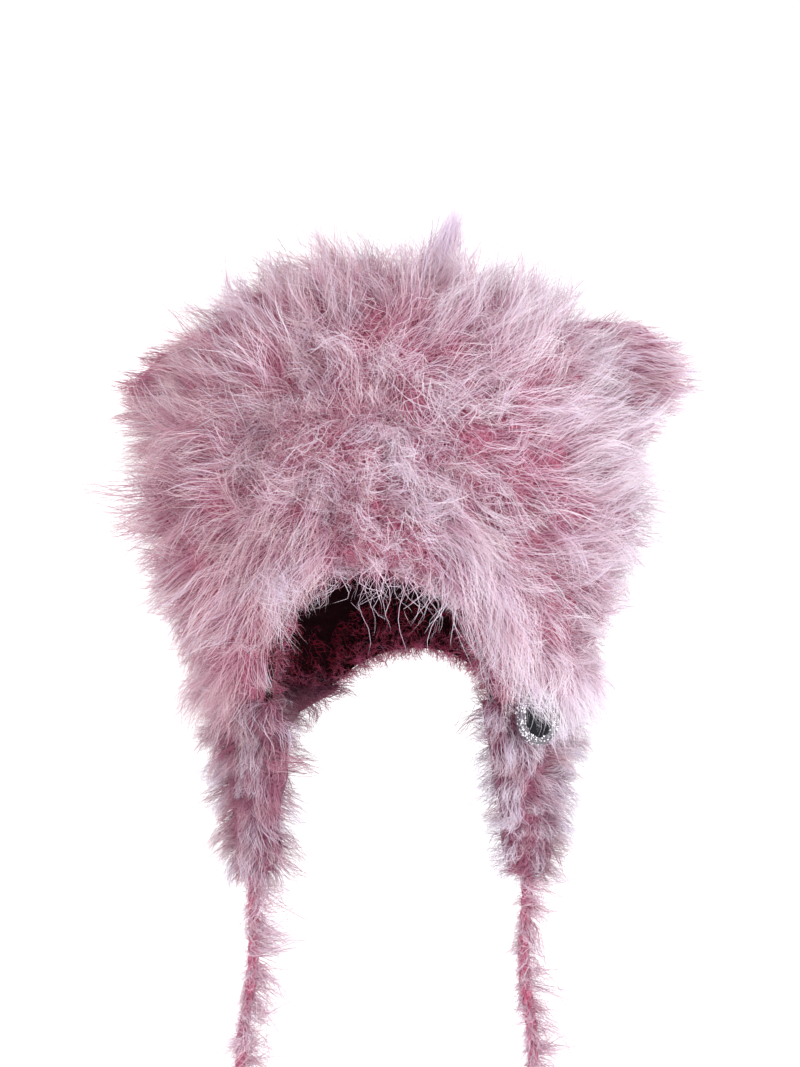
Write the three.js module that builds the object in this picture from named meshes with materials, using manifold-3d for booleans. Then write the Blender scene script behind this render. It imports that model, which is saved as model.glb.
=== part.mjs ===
// A cat ear hat knitted from long-pile yarn: a round crown with an arched face opening, two small ears at its
// sides, ear flaps that narrow to twisted ties, and a small oval badge on one flap. The pile stands out from
// the knitted walls as deep fur, which is kept here as coats of locks round plain walls.
import * as THREE from "three";
import { mergeVertices } from "three/addons/utils/BufferGeometryUtils.js";
import Module from "manifold-3d";

const wasm = await Module();
wasm.setup();

// Driving dimensions in millimetres, and angles in degrees from the front. The origin is the top of the
// crown's inside, where the head meets it. The front is -Y. Left and right are the wearer's, so left is +X.
const KNIT = 5; // thickness of the knitted walls
const GAP = 0.4; // clearance between pieces that meet
const CROWN = { halfWidth: 94, front: 98, back: 102, widest: -85, squareness: 2.4 };
const HEM = { face: -120, side: -185, nape: -166, faceAngle: 41, napeAngle: 32, faceArch: 3.2, napeArch: 2 };
const HEM_SPREAD = 0.89; // the crown's width at the side hem, as a share of its widest
const TIP_SPREAD = 0.8; // the same for the flaps' lower ends
const FLAP_END = -267;
const FLAP_EDGE = 1.2; // how far a flap's rounded edge stands past the end of its faces

// How far the pile stands out from the wall: the closed mass of the fur, and the tips of its locks.
const FUR = [
  { z: 5, mass: 16, tip: 39 },
  { z: -30, mass: 17, tip: 40 },
  { z: -65, mass: 17, tip: 41 },
  { z: -90, mass: 15, tip: 36 },
  { z: -120, mass: 12, tip: 28 },
  { z: -162, mass: 9, tip: 20 },
  { z: -221, mass: 7, tip: 15 },
  { z: -267, mass: 5, tip: 11 },
];
const BROW_HANG = 7; // how far the fur hangs below the hem over the face
const CHEEK_PILE = 2.2; // the short pile inside a flap
const EDGE_PILE = 4; // the pile on a flap's edges

// An ear flap's two edges, from the hem down to the tie. The wearer's right flap lies further forward.
const FLAP = [
  { z: HEM.side, frontEdge: 41, rearEdge: 148 },
  { z: -197, frontEdge: 44, rearEdge: 130 },
  { z: -214, frontEdge: 48, rearEdge: 112 },
  { z: -234, frontEdge: 53, rearEdge: 97 },
  { z: -250, frontEdge: 57, rearEdge: 87 },
  { z: FLAP_END, frontEdge: 60, rearEdge: 79 },
];
const SIDES = [
  { name: "left", sign: 1, forward: 0 },
  { name: "right", sign: -1, forward: 8 },
];
const FORWARD_RUN = 25; // the drop over which a flap's front edge comes forward

// The ears are flat cupped pockets. Each row gives a section's place from the root, 0, to the tip, 1, and its
// share of the root's width. Their roots are sunk into the crown before they are trimmed to it.
const EAR = { rootWidth: 70, rootThick: 22, cup: 8, wall: 4, sunk: 16, mass: 6, tip: 17, bareBelow: 0.45 };
const EARS = [
  { name: "left", root: [82, 3, -38], tip: [134, 5, -15], rootLine: [-0.45, 0, 0.89] },
  { name: "right", root: [-82, 3, -40], tip: [-131, 8, -27], rootLine: [0.36, 0, 0.93] },
];
const EAR_SECTIONS = [
  { along: 0.9, share: 0.4 },
  { along: 0.72, share: 0.62 },
  { along: 0.5, share: 0.8 },
  { along: 0.25, share: 0.93 },
  { along: 0, share: 1 },
];
const EAR_SHADE = { reach: 45, share: 0.4 }; // the crown's locks are this much shorter next to an ear

// The ties hang from the flaps. Each row is a point of the cord's centre line.
const TIE = { diameter: 7, sides: 10, step: 16 };
const TIE_TOP = FLAP_END - GAP;
const TIES = [
  {
    name: "left",
    route: [
      { x: 67.6, y: -26.6, z: TIE_TOP },
      { x: 67.6, y: -26.7, z: -274 },
      { x: 67.4, y: -26.9, z: -281 },
      { x: 67.0, y: -27.2, z: -288 },
      { x: 66.5, y: -27.6, z: -295 },
      { x: 66.1, y: -28.0, z: -302 },
      { x: 65.9, y: -28.3, z: -309 },
      { x: 66.1, y: -28.4, z: -316 },
      { x: 66.7, y: -28.3, z: -323 },
      { x: 67.7, y: -28.0, z: -330 },
      { x: 68.8, y: -27.7, z: -337 },
      { x: 69.7, y: -27.5, z: -344 },
      { x: 70.2, y: -27.5, z: -351 },
      { x: 70.5, y: -27.6, z: -358 },
      { x: 70.8, y: -27.8, z: -364 },
      { x: 71.2, y: -28.0, z: -370 },
    ],
  },
  {
    name: "right",
    route: [
      { x: -67.6, y: -26.6, z: TIE_TOP },
      { x: -67.6, y: -26.6, z: -274 },
      { x: -67.5, y: -26.7, z: -281 },
      { x: -67.3, y: -26.9, z: -288 },
      { x: -67.1, y: -27.2, z: -295 },
      { x: -67.0, y: -27.4, z: -302 },
      { x: -67.1, y: -27.5, z: -309 },
      { x: -67.5, y: -27.5, z: -316 },
      { x: -68.2, y: -27.4, z: -323 },
      { x: -69.2, y: -27.2, z: -330 },
      { x: -70.4, y: -27.1, z: -337 },
      { x: -71.6, y: -27.1, z: -344 },
      { x: -72.6, y: -27.3, z: -351 },
      { x: -73.2, y: -27.6, z: -358 },
      { x: -73.5, y: -27.9, z: -364 },
      { x: -73.6, y: -28.2, z: -370 },
    ],
  },
];
const KNOT = { radius: 7, height: 12 };
const TUFT = { locks: 8, length: 30, radius: 3, splay: 14, sides: 5 };

// The badge is an oval plate on a shank that reaches through the pile to the wearer's left flap.
const BADGE = { angle: 51, turn: 38, z: -190, width: 23, height: 26, thick: 3.2, standOff: 16, shank: 4 };
const BADGE_RIM = { width: 3.4, rise: 1.6, clearance: 0.3 };

// Numbers of sections and points that the shapes are drawn with.
const COLUMNS = 46;
const DOME_BANDS = 7;
const SIDE_BANDS = 3;
const FRONT_CROWDING = 0.25; // closer columns at the face opening
const LOCK_WIDTH = 25;
const DOME_LOCKS = 6;
const SIDE_LOCKS = 4;
const FLAP_STEPS = 8;
const FLAP_ROWS = 7;
const EAR_STEPS = 16;

const radians = THREE.MathUtils.degToRad;
const degrees = THREE.MathUtils.radToDeg;
const mix = THREE.MathUtils.lerp;
const vector = (x, y, z) => new THREE.Vector3(x, y, z);

// A column of a table at height z, in a straight line between its rows.
function at(table, key, z) {
  const below = table.findIndex((row) => row.z <= z);
  if (below < 0) return table[table.length - 1][key];
  if (below === 0) return table[0][key];
  const high = table[below - 1];
  const low = table[below];
  return mix(high[key], low[key], (high.z - z) / (high.z - low.z));
}

// A fixed scatter from 0 to 1, the same each time.
function chance(n) {
  const s = Math.sin(n * 12.9898 + 4.1) * 43758.5453;
  return s - Math.floor(s);
}

// The lower edge of the crown: high over the face and the nape, low at the sides.
function hemHeight(angle) {
  const fromFront = Math.abs(degrees(Math.atan2(Math.sin(angle), Math.cos(angle))));
  const fromBack = 180 - fromFront;
  if (fromFront < HEM.faceAngle) {
    return mix(HEM.face, HEM.side, (fromFront / HEM.faceAngle) ** HEM.faceArch);
  }
  if (fromBack < HEM.napeAngle) {
    return mix(HEM.nape, HEM.side, (fromBack / HEM.napeAngle) ** HEM.napeArch);
  }
  return HEM.side;
}

// A point of the outer face at this share of the widest outline. Angle 0 faces the front.
function ovalPoint(angle, spread, z) {
  const depth = Math.cos(angle) > 0 ? CROWN.front : CROWN.back;
  return vector(CROWN.halfWidth * spread * Math.sin(angle), -depth * spread * Math.cos(angle), z);
}

// The crown's outer face. Drop runs from 0 at the top through 1 at the widest level to 2 at the hem.
function crownSurface(angle, drop) {
  if (drop <= 1) {
    const turn = (drop * Math.PI) / 2;
    const power = 2 / CROWN.squareness;
    const height = KNIT - CROWN.widest;
    return ovalPoint(angle, Math.sin(turn) ** power, CROWN.widest + height * Math.cos(turn) ** power);
  }
  const z = mix(CROWN.widest, hemHeight(angle), drop - 1);
  const down = (CROWN.widest - z) / (CROWN.widest - HEM.side);
  return ovalPoint(angle, 1 - (1 - HEM_SPREAD) * down * down, z);
}

// The flap's outer face, from the hem down to its end.
function flapSurface(angle, z) {
  const down = (HEM.side - z) / (HEM.side - FLAP_END);
  return ovalPoint(angle, mix(HEM_SPREAD, TIP_SPREAD, down), z);
}

function crownNormal(angle, drop) {
  const small = 1e-3;
  const d = Math.min(Math.max(drop, 0.02), 2 - small);
  const along = crownSurface(angle, d + small).sub(crownSurface(angle, d - small));
  const around = crownSurface(angle + small, d).sub(crownSurface(angle - small, d));
  return along.cross(around).normalize();
}

// A point at a distance outside the crown's outer face, or inside it if the distance is negative.
function crownPoint(angle, drop, out) {
  if (drop === 0) return vector(0, 0, KNIT + out);
  return crownSurface(angle, drop).addScaledVector(crownNormal(angle, drop), out);
}

// A mesh under construction: triangles between corners that are given as vectors.
class Skin {
  constructor() {
    this.corners = [];
  }

  face(a, b, c) {
    this.corners.push(a, b, c);
  }

  // Triangles between two closed rings of { turn, point }, or between a ring and a single point.
  // A ring is listed in the order of turn, which runs from 0 to 1.
  band(upper, lower, draw = (a, b, c) => this.face(a, b, c)) {
    let i = 0;
    let j = 0;
    const turnOf = (ring, k) => ring[k % ring.length].turn + Math.floor(k / ring.length);
    const pointOf = (ring, k) => ring[k % ring.length].point;
    const upperSteps = upper.length > 1 ? upper.length : 0;
    const lowerSteps = lower.length > 1 ? lower.length : 0;
    while (i < upperSteps || j < lowerSteps) {
      const upperIsNext = i < upperSteps && turnOf(upper, i + 1) < turnOf(lower, j + 1);
      if (j >= lowerSteps || upperIsNext) {
        draw(pointOf(upper, i), pointOf(lower, j), pointOf(upper, i + 1));
        i += 1;
      } else {
        draw(pointOf(upper, i), pointOf(lower, j), pointOf(lower, j + 1));
        j += 1;
      }
    }
  }

  // Bands between each pair of rings in a list.
  bands(rings, draw) {
    for (let k = 0; k + 1 < rings.length; k += 1) this.band(rings[k], rings[k + 1], draw);
  }

  // The same bands with their faces turned over, for the inside of a hollow piece.
  lining(rings) {
    this.bands(rings, (a, b, c) => this.face(a, c, b));
  }

  // A hollow piece between two sets of rings, closed at its lower edge.
  shell(outer, inner, draw) {
    this.bands(outer, draw);
    this.band(outer[outer.length - 1], inner[inner.length - 1]);
    this.lining(inner);
  }

  // One lock of fur on a triangle of a coat: its middle is drawn out to a tip.
  lock(a, b, c, reach) {
    const middle = a.clone().add(b).add(c).divideScalar(3);
    const tip = middle.clone().add(reach(middle));
    this.face(a, b, tip);
    this.face(b, c, tip);
    this.face(c, a, tip);
  }

  solid() {
    const positions = new Float32Array(this.corners.flatMap((p) => p.toArray()));
    const geometry = new THREE.BufferGeometry();
    geometry.setAttribute("position", new THREE.BufferAttribute(positions, 3));
    return toSolid(geometry);
  }
}

// A closed geometry as a solid with its faces pointing out.
function toSolid(geometry) {
  const bare = geometry.index ? geometry.toNonIndexed() : geometry.clone();
  bare.deleteAttribute("normal");
  bare.deleteAttribute("uv");
  const merged = mergeVertices(bare, 1e-3);
  const vertProperties = merged.attributes.position.array;
  const triVerts = new Uint32Array(merged.index.array);
  const solid = new wasm.Manifold(new wasm.Mesh({ numProp: 3, vertProperties, triVerts }));
  if (solid.volume() > 0) return solid;
  for (let i = 0; i < triVerts.length; i += 3) {
    [triVerts[i + 1], triVerts[i + 2]] = [triVerts[i + 2], triVerts[i + 1]];
  }
  return new wasm.Manifold(new wasm.Mesh({ numProp: 3, vertProperties, triVerts }));
}

function toGeometry(solid) {
  const mesh = solid.getMesh();
  const geometry = new THREE.BufferGeometry();
  geometry.setAttribute("position", new THREE.BufferAttribute(new Float32Array(mesh.vertProperties), 3));
  geometry.setIndex(new THREE.BufferAttribute(new Uint32Array(mesh.triVerts), 1));
  return geometry;
}

// The largest piece of a solid, without slivers that a cut has left.
function largest(solid) {
  return solid.decompose().sort((a, b) => b.volume() - a.volume())[0];
}

// An angle for an even share of a turn, with the columns closer at the front.
function columnAngle(share) {
  const even = share * 2 * Math.PI;
  return even - FRONT_CROWDING * Math.sin(even);
}

// Rings of the crown at a distance from its outer face, from the top down.
function crownRings(out) {
  const rings = [[{ turn: 0, point: crownPoint(0, 0, out) }]];
  for (let k = 1; k <= DOME_BANDS + SIDE_BANDS; k += 1) {
    const drop = k <= DOME_BANDS ? k / DOME_BANDS : 1 + (k - DOME_BANDS) / SIDE_BANDS;
    const ring = [];
    for (let i = 0; i < COLUMNS; i += 1) {
      const angle = columnAngle(i / COLUMNS);
      ring.push({ turn: angle / (2 * Math.PI), point: crownPoint(angle, drop, out) });
    }
    rings.push(ring);
  }
  return rings;
}

function crownWall() {
  const skin = new Skin();
  skin.shell(crownRings(0), crownRings(-KNIT));
  return skin.solid();
}

// The crown filled in, and a little larger, to trim the ears to its outer face.
function crownFilled(out) {
  const skin = new Skin();
  skin.bands([...crownRings(out), [{ turn: 0, point: vector(0, 0, HEM.face) }]]);
  return skin.solid();
}

// How a lock stands: out from the wall, then leaning down lower on the hat, with a small scatter.
function lockReach(middle, out, length) {
  const seed = middle.x * 0.731 + middle.y * 1.13 + middle.z * 0.517;
  const droop = THREE.MathUtils.smoothstep(-middle.z, 60, 240) * 0.55;
  const scatter = vector(chance(seed) - 0.5, chance(seed + 7) - 0.5, chance(seed + 13) - 0.5);
  const reach = out.clone().addScaledVector(scatter, 0.28);
  reach.z -= droop;
  return reach.normalize().multiplyScalar(length * (0.82 + 0.3 * chance(seed + 29)));
}

function lockLength(z) {
  return at(FUR, "tip", z) - at(FUR, "mass", z);
}

// How near a point is to an ear, from 0 far off to 1 at the ear's middle line.
function nearEar(point) {
  const near = EARS.map((ear) => {
    const line = new THREE.Line3(vector(...ear.root), vector(...ear.tip));
    return line.closestPointToPoint(point, true, vector(0, 0, 0)).distanceTo(point);
  });
  return 1 - Math.min(1, Math.min(...near) / EAR_SHADE.reach);
}

// The closed mass of the crown's fur, as rings of points where its locks meet.
function coatRings() {
  const massPoint = (angle, drop) => {
    const point = crownPoint(angle, drop, at(FUR, "mass", crownSurface(angle, drop).z));
    point.z -= drop === 2 ? BROW_HANG * Math.max(0, Math.cos(angle)) : 0;
    return point;
  };
  const rings = [[{ turn: 0, point: massPoint(0, 0) }]];
  for (let k = 1; k <= DOME_LOCKS + SIDE_LOCKS; k += 1) {
    const drop = k <= DOME_LOCKS ? k / DOME_LOCKS : 1 + (k - DOME_LOCKS) / SIDE_LOCKS;
    const halfWidth = massPoint(Math.PI / 2, drop).x;
    const count = Math.max(7, Math.round((2 * Math.PI * halfWidth) / LOCK_WIDTH));
    const ring = [];
    for (let i = 0; i < count; i += 1) {
      const stagger = (k % 2 ? 0.25 : 0.75) + 0.3 * (chance(i + 31 * k) - 0.5);
      const angle = columnAngle((i + stagger) / count);
      ring.push({ turn: angle / (2 * Math.PI), point: massPoint(angle, drop) });
    }
    rings.push(ring);
  }
  return rings;
}

// The crown's coat of fur, hollow over the wall.
function crownCoat() {
  const skin = new Skin();
  const reach = (middle) => {
    const out = vector(middle.x, middle.y, Math.max(0, middle.z - CROWN.widest)).normalize();
    const length = lockLength(middle.z) * (1 - EAR_SHADE.share * nearEar(middle));
    return lockReach(middle, out, length);
  };
  skin.shell(coatRings(), crownRings(GAP), (a, b, c) => skin.lock(a, b, c, reach));
  return skin.solid();
}

// A closed outline round one flap at height z: its outer face from the front edge to the rear one, then its
// inner face back. It keeps a distance from the wall outside, inside and round the two edges.
function flapRing(side, z, outside, inside, edge) {
  const forward = side.forward * Math.min(1, Math.max(0, HEM.side - z) / FORWARD_RUN);
  const front = radians(at(FLAP, "frontEdge", z) - forward);
  const rear = radians(at(FLAP, "rearEdge", z));
  const corner = 0.7; // how much of each distance the corners keep
  const place = (angle, out, along) => {
    const outward = ovalPoint(angle, 1, 0).normalize();
    const tangent = vector(Math.cos(angle), Math.sin(angle), 0);
    return flapSurface(angle, z).addScaledVector(outward, out).addScaledVector(tangent, along);
  };
  const face = (depth, distance) => {
    const points = [];
    for (let i = 0; i <= FLAP_STEPS; i += 1) {
      const end = Number(i === FLAP_STEPS) - Number(i === 0);
      const keep = end === 0 ? 1 : corner;
      points.push(place(mix(front, rear, i / FLAP_STEPS), depth + distance * keep, end * edge * corner));
    }
    return points;
  };
  const points = [
    ...face(0, outside),
    place(rear, -KNIT / 2, edge),
    ...face(-KNIT, -inside).reverse(),
    place(front, -KNIT / 2, -edge),
  ];
  points.forEach((point) => {
    point.x *= side.sign;
  });
  return points.map((point, i) => ({ turn: i / points.length, point }));
}

// Triangles that close a flap's ring, from one edge to the other.
function capAcross(ring, draw) {
  const last = ring.length - 1;
  const point = (k) => ring[k].point;
  draw(point(last), point(0), point(last - 1));
  for (let i = 0; i < FLAP_STEPS; i += 1) {
    draw(point(i), point(i + 1), point(last - 1 - i));
    draw(point(i + 1), point(last - 2 - i), point(last - 1 - i));
  }
  draw(point(FLAP_STEPS), point(FLAP_STEPS + 1), point(FLAP_STEPS + 2));
}

// A solid between rings of a flap, closed at its top and its bottom.
function flapSolid(rings) {
  const skin = new Skin();
  skin.bands(rings);
  capAcross(rings[0], (a, b, c) => skin.face(a, b, c));
  capAcross(rings[rings.length - 1], (a, b, c) => skin.face(a, c, b));
  return skin.solid();
}

const FLAP_TOP = HEM.side - GAP;
const FLAP_HEIGHTS = Array.from({ length: FLAP_ROWS + 1 }, (_, k) => mix(FLAP_TOP, FLAP_END, k / FLAP_ROWS));

function flapWall(side, out = 0) {
  return flapSolid(FLAP_HEIGHTS.map((z) => flapRing(side, z, out, out, FLAP_EDGE + out)));
}

// The space that a flap and its fur take up, which the crown's coat keeps out of.
function flapZone(side) {
  const room = { outside: 42, inside: 8, edge: 12, depth: 40 };
  const heights = [HEM.side + GAP / 2, HEM.side - room.depth];
  return flapSolid(heights.map((z) => flapRing(side, z, room.outside, room.inside, room.edge)));
}

// The flap's coat of fur: a sleeve round it, deep outside, with short pile on the side of the cheek.
function flapCoat(side) {
  const skin = new Skin();
  const inner = FLAP_HEIGHTS.map((z) => flapRing(side, z, GAP, GAP, FLAP_EDGE + GAP));
  const outer = FLAP_HEIGHTS.map((z) => flapRing(side, z, at(FUR, "mass", z), CHEEK_PILE, EDGE_PILE));
  const cheek = new Set(outer.flat().filter((row) => row.turn > 0.5).map((row) => row.point));
  const reach = (middle) => {
    return lockReach(middle, vector(middle.x, middle.y, 0).normalize(), lockLength(middle.z));
  };
  skin.bands(outer, (a, b, c) => {
    if ([a, b, c].some((point) => cheek.has(point))) skin.face(a, b, c);
    else skin.lock(a, b, c, reach);
  });
  skin.band(outer[outer.length - 1], inner[inner.length - 1]);
  skin.lining(inner);
  skin.band(inner[0], outer[0]);
  return skin.solid();
}

// One section of an ear at a distance outside it.
function earRing(ear, along, share, out) {
  const root = vector(...ear.root);
  const axis = vector(...ear.tip).sub(root);
  const across = vector(...ear.rootLine).normalize();
  const halfWidth = (EAR.rootWidth / 2) * share + out;
  const halfThick = (EAR.rootThick / 2) * share ** 0.7 + out;
  const ring = [];
  for (let i = 0; i < EAR_STEPS; i += 1) {
    const turn = i / EAR_STEPS;
    const c = Math.cos(turn * 2 * Math.PI);
    const s = Math.sin(turn * 2 * Math.PI);
    const point = root.clone().addScaledVector(axis, along).addScaledVector(across, halfWidth * c);
    point.y += halfThick * s + EAR.cup * share * (1 - c * c);
    ring.push({ turn, point });
  }
  return ring;
}

// An ear's rings from its tip to its sunk root. The distance outside it depends on the place along it.
function earRings(ear, outAt) {
  const root = vector(...ear.root);
  const end = vector(...ear.tip);
  const length = end.distanceTo(root);
  const tip = root.clone().lerp(end, 1 + outAt(1) / length);
  const rings = EAR_SECTIONS.map((row) => earRing(ear, row.along, row.share, outAt(row.along)));
  const sunk = earRing(ear, -EAR.sunk / length, 1, outAt(0));
  return [[{ turn: 0, point: tip }], ...rings, sunk];
}

function earWall(ear, seat) {
  const skin = new Skin();
  skin.shell(earRings(ear, () => 0), earRings(ear, () => -EAR.wall));
  return largest(skin.solid().subtract(seat));
}

// An ear's coat of fur. Its locks begin where it leaves the crown's own coat.
function earCoat(ear, seat) {
  const skin = new Skin();
  const root = vector(...ear.root);
  const axis = vector(...ear.tip).sub(root);
  const length = axis.length();
  axis.normalize();
  const reach = (middle) => {
    const aside = middle.clone().sub(root);
    aside.addScaledVector(axis, -aside.dot(axis)).normalize();
    const grown = (EAR.tip - EAR.mass) * (0.8 + 0.3 * chance(middle.x + middle.z * 3.1));
    return aside.multiplyScalar(0.75).addScaledVector(axis, 0.65).normalize().multiplyScalar(grown);
  };
  const draw = (a, b, c) => {
    const lowest = Math.min(...[a, b, c].map((point) => point.clone().sub(root).dot(axis) / length));
    if (lowest < EAR.bareBelow) skin.face(a, b, c);
    else skin.lock(a, b, c, reach);
  };
  skin.shell(earRings(ear, () => EAR.mass), earRings(ear, () => GAP), draw);
  return largest(skin.solid().subtract(seat));
}

// The space that an ear and its fur take up: close round its root, and wide where its locks stand.
function earZone(ear) {
  const skin = new Skin();
  const outAt = (along) => (along < EAR.bareBelow ? EAR.mass + GAP : EAR.tip + 2);
  const inside = vector(...ear.root).lerp(vector(...ear.tip), -0.6);
  skin.bands([...earRings(ear, outAt), [{ turn: 0, point: inside }]]);
  return skin.solid();
}

function tieCord(tie) {
  const path = new THREE.CatmullRomCurve3(tie.route.map((row) => vector(row.x, row.y, row.z)));
  const corners = [];
  for (let i = 0; i < TIE.sides; i += 1) {
    const angle = (i / TIE.sides) * 2 * Math.PI;
    corners.push(new THREE.Vector2(Math.cos(angle), Math.sin(angle)).multiplyScalar(TIE.diameter / 2));
  }
  const steps = Math.round(path.getLength() / TIE.step);
  return toSolid(new THREE.ExtrudeGeometry(new THREE.Shape(corners), { steps, extrudePath: path }));
}

// The knot that ends a tie, with the yarn ends below it as a ring of locks.
function tieEnd(tie) {
  const last = tie.route[tie.route.length - 1];
  const profile = [];
  for (let k = 0; k <= 6; k += 1) {
    const turn = (k / 6) * Math.PI;
    const radius = k === 6 ? 0 : KNOT.radius * Math.sin(turn);
    profile.push(new THREE.Vector2(radius, -(KNOT.height / 2) * Math.cos(turn)));
  }
  let made = toSolid(new THREE.LatheGeometry(profile, 12).rotateX(Math.PI / 2));
  for (let i = 0; i < TUFT.locks; i += 1) {
    const outermost = i % 2;
    const length = TUFT.length * (0.8 + 0.2 * chance(i + last.x));
    const cone = new THREE.ConeGeometry(TUFT.radius, length, TUFT.sides);
    cone.rotateX(-Math.PI / 2);
    cone.translate(0, 0, -length / 2);
    cone.rotateY(-radians(outermost ? TUFT.splay : TUFT.splay * 0.4));
    cone.translate(KNOT.radius * (outermost ? 0.5 : 0.25), 0, -1);
    cone.rotateZ((i / TUFT.locks) * 2 * Math.PI);
    made = made.add(toSolid(cone));
  }
  return made.translate(last.x, last.y, last.z - GAP - KNOT.height / 2);
}

// The badge's place on the flap. Its own X runs across it, its Y up it and its Z out from the wall.
function badgePlace() {
  const seat = flapSurface(radians(BADGE.angle), BADGE.z);
  const out = vector(Math.sin(radians(BADGE.turn)), -Math.cos(radians(BADGE.turn)), 0);
  const up = vector(0, 0, 1);
  const across = up.clone().cross(out);
  return new THREE.Matrix4().makeBasis(across, up, out).setPosition(seat);
}

function ovalDisc(place, width, height, from, thick) {
  const outline = new THREE.Shape();
  outline.absellipse(0, 0, width / 2, height / 2, 0, 2 * Math.PI);
  const disc = new THREE.ExtrudeGeometry(outline, { depth: thick, bevelEnabled: false, curveSegments: 12 });
  return toSolid(disc.translate(0, 0, from).applyMatrix4(place));
}

// The badge's silver plate with its raised rim, and its shank, which ends at the flap's wall.
function badgeRim(place, wall) {
  const across = BADGE.width - 2 * BADGE_RIM.width;
  const upright = BADGE.height - 2 * BADGE_RIM.width;
  const floor = BADGE.standOff + BADGE.thick - BADGE_RIM.rise;
  const plate = ovalDisc(place, BADGE.width, BADGE.height, BADGE.standOff, BADGE.thick);
  const pocket = ovalDisc(place, across, upright, floor, 2 * BADGE_RIM.rise);
  const shank = ovalDisc(place, BADGE.shank, BADGE.shank, -KNIT, BADGE.standOff + KNIT + 1);
  return largest(plate.add(shank).subtract(pocket).subtract(wall));
}

// The dark field that lies in the badge's rim.
function badgeField(place) {
  const inset = 2 * (BADGE_RIM.width + BADGE_RIM.clearance);
  const from = BADGE.standOff + BADGE.thick - BADGE_RIM.rise + BADGE_RIM.clearance;
  const thick = BADGE_RIM.rise - 2 * BADGE_RIM.clearance;
  return ovalDisc(place, BADGE.width - inset, BADGE.height - inset, from, thick);
}

// The space that the badge takes up in the fur, open towards the front.
function badgeZone(place) {
  const room = { round: 3, behind: 2, depth: 40 };
  const width = BADGE.width + room.round;
  const height = BADGE.height + room.round;
  const plate = ovalDisc(place, width, height, BADGE.standOff - room.behind, room.depth);
  return plate.add(ovalDisc(place, BADGE.shank + 1, BADGE.shank + 1, -KNIT, room.depth));
}

const YARN = { color: 0xb9909f, roughness: 0.95, metalness: 0 };
const PILE = { color: 0xcdb0bd, roughness: 1, metalness: 0 };
const SILVER = { color: 0xc9c9cf, roughness: 0.35, metalness: 1 };
const ENAMEL = { color: 0x14141a, roughness: 0.25, metalness: 0 };

const hat = new THREE.Group();

function add(name, solid, finish) {
  const mesh = new THREE.Mesh(toGeometry(solid), new THREE.MeshStandardMaterial(finish));
  mesh.name = name;
  hat.add(mesh);
}

const seat = crownFilled(GAP);
const badge = badgePlace();
const roomForBadge = badgeZone(badge);

add("crown", crownWall(), YARN);

let coat = crownCoat().subtract(roomForBadge);
for (const side of SIDES) coat = coat.subtract(flapZone(side));
for (const ear of EARS) coat = coat.subtract(earZone(ear));
add("crown_fur", largest(coat), PILE);

for (const ear of EARS) {
  add(`ear_${ear.name}`, earWall(ear, seat), YARN);
  add(`ear_fur_${ear.name}`, earCoat(ear, seat), PILE);
}

for (const side of SIDES) {
  add(`earflap_${side.name}`, flapWall(side), YARN);
  add(`earflap_fur_${side.name}`, largest(flapCoat(side).subtract(roomForBadge)), PILE);
}

for (const tie of TIES) {
  add(`tie_${tie.name}`, tieCord(tie), YARN);
  add(`tie_end_${tie.name}`, tieEnd(tie), PILE);
}

add("badge_rim", badgeRim(badge, flapWall(SIDES[0], GAP)), SILVER);
add("badge_field", badgeField(badge), ENAMEL);

export default hat;
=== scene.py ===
# A cat ear hat in long-pile yarn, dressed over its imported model.
import math

import bpy
import numpy as np
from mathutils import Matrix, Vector
from mathutils.kdtree import KDTree


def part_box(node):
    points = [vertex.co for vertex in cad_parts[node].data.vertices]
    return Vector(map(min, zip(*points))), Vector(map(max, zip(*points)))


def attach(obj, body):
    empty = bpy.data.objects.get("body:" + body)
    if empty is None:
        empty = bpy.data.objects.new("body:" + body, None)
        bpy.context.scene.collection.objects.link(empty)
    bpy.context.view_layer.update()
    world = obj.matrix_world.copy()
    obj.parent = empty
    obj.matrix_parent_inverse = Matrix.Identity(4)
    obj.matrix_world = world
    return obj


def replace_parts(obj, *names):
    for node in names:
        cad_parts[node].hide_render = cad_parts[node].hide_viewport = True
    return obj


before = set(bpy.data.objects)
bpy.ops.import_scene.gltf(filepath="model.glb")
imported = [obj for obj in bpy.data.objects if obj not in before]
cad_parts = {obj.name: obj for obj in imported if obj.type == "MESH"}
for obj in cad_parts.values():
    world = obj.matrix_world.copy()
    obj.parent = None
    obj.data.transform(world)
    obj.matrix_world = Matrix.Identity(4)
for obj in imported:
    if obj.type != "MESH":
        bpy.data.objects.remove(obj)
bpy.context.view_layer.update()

# The knitted crown.
# A round hollow wall knitted in thick deep rose yarn, with an arched opening at the face. It carries the
# ears, the flaps and the long pile, and what shows of it is the purl side of the stitches inside, coloured
# near-black as painted shade of the crown's inside.
MM = 0.001
KNIT = 5 * MM
WIDEST = -85 * MM
SQUARENESS = 2.4
HEM_FACE, HEM_SIDE, HEM_NAPE = -120 * MM, -185 * MM, -166 * MM
FACE_ANGLE, NAPE_ANGLE = math.radians(41), math.radians(32)
FACE_ARCH, NAPE_ARCH = 3.2, 2.0
HEM_SPREAD = 0.89
STITCH_COLUMNS = 68
STITCH_ROWS = 26
STITCH_SAMPLES = 3
STITCH_RAISED = 1.5 * MM
STITCH_WAVE = 1.3
WALL_ROWS = 12
YARN_GRAIN = 900.0
# The inside's yarn colours: near-black, painted shade of the crown's inside, far darker than the rose yarn
# of the ears and flaps.
SHADED_INSIDE_DEEP = (0.008, 0.001, 0.002, 1)
SHADED_INSIDE_ROSE = (0.034, 0.002, 0.008, 1)
crown_low, crown_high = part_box("crown")


def unit(vectors):
    """The same vectors at length 1."""
    return vectors / np.maximum(np.linalg.norm(vectors, axis=-1, keepdims=True), 1e-9)


def clipped(values):
    """The same values, held between 0 and 1."""
    return np.clip(values, 0, 1)


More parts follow.
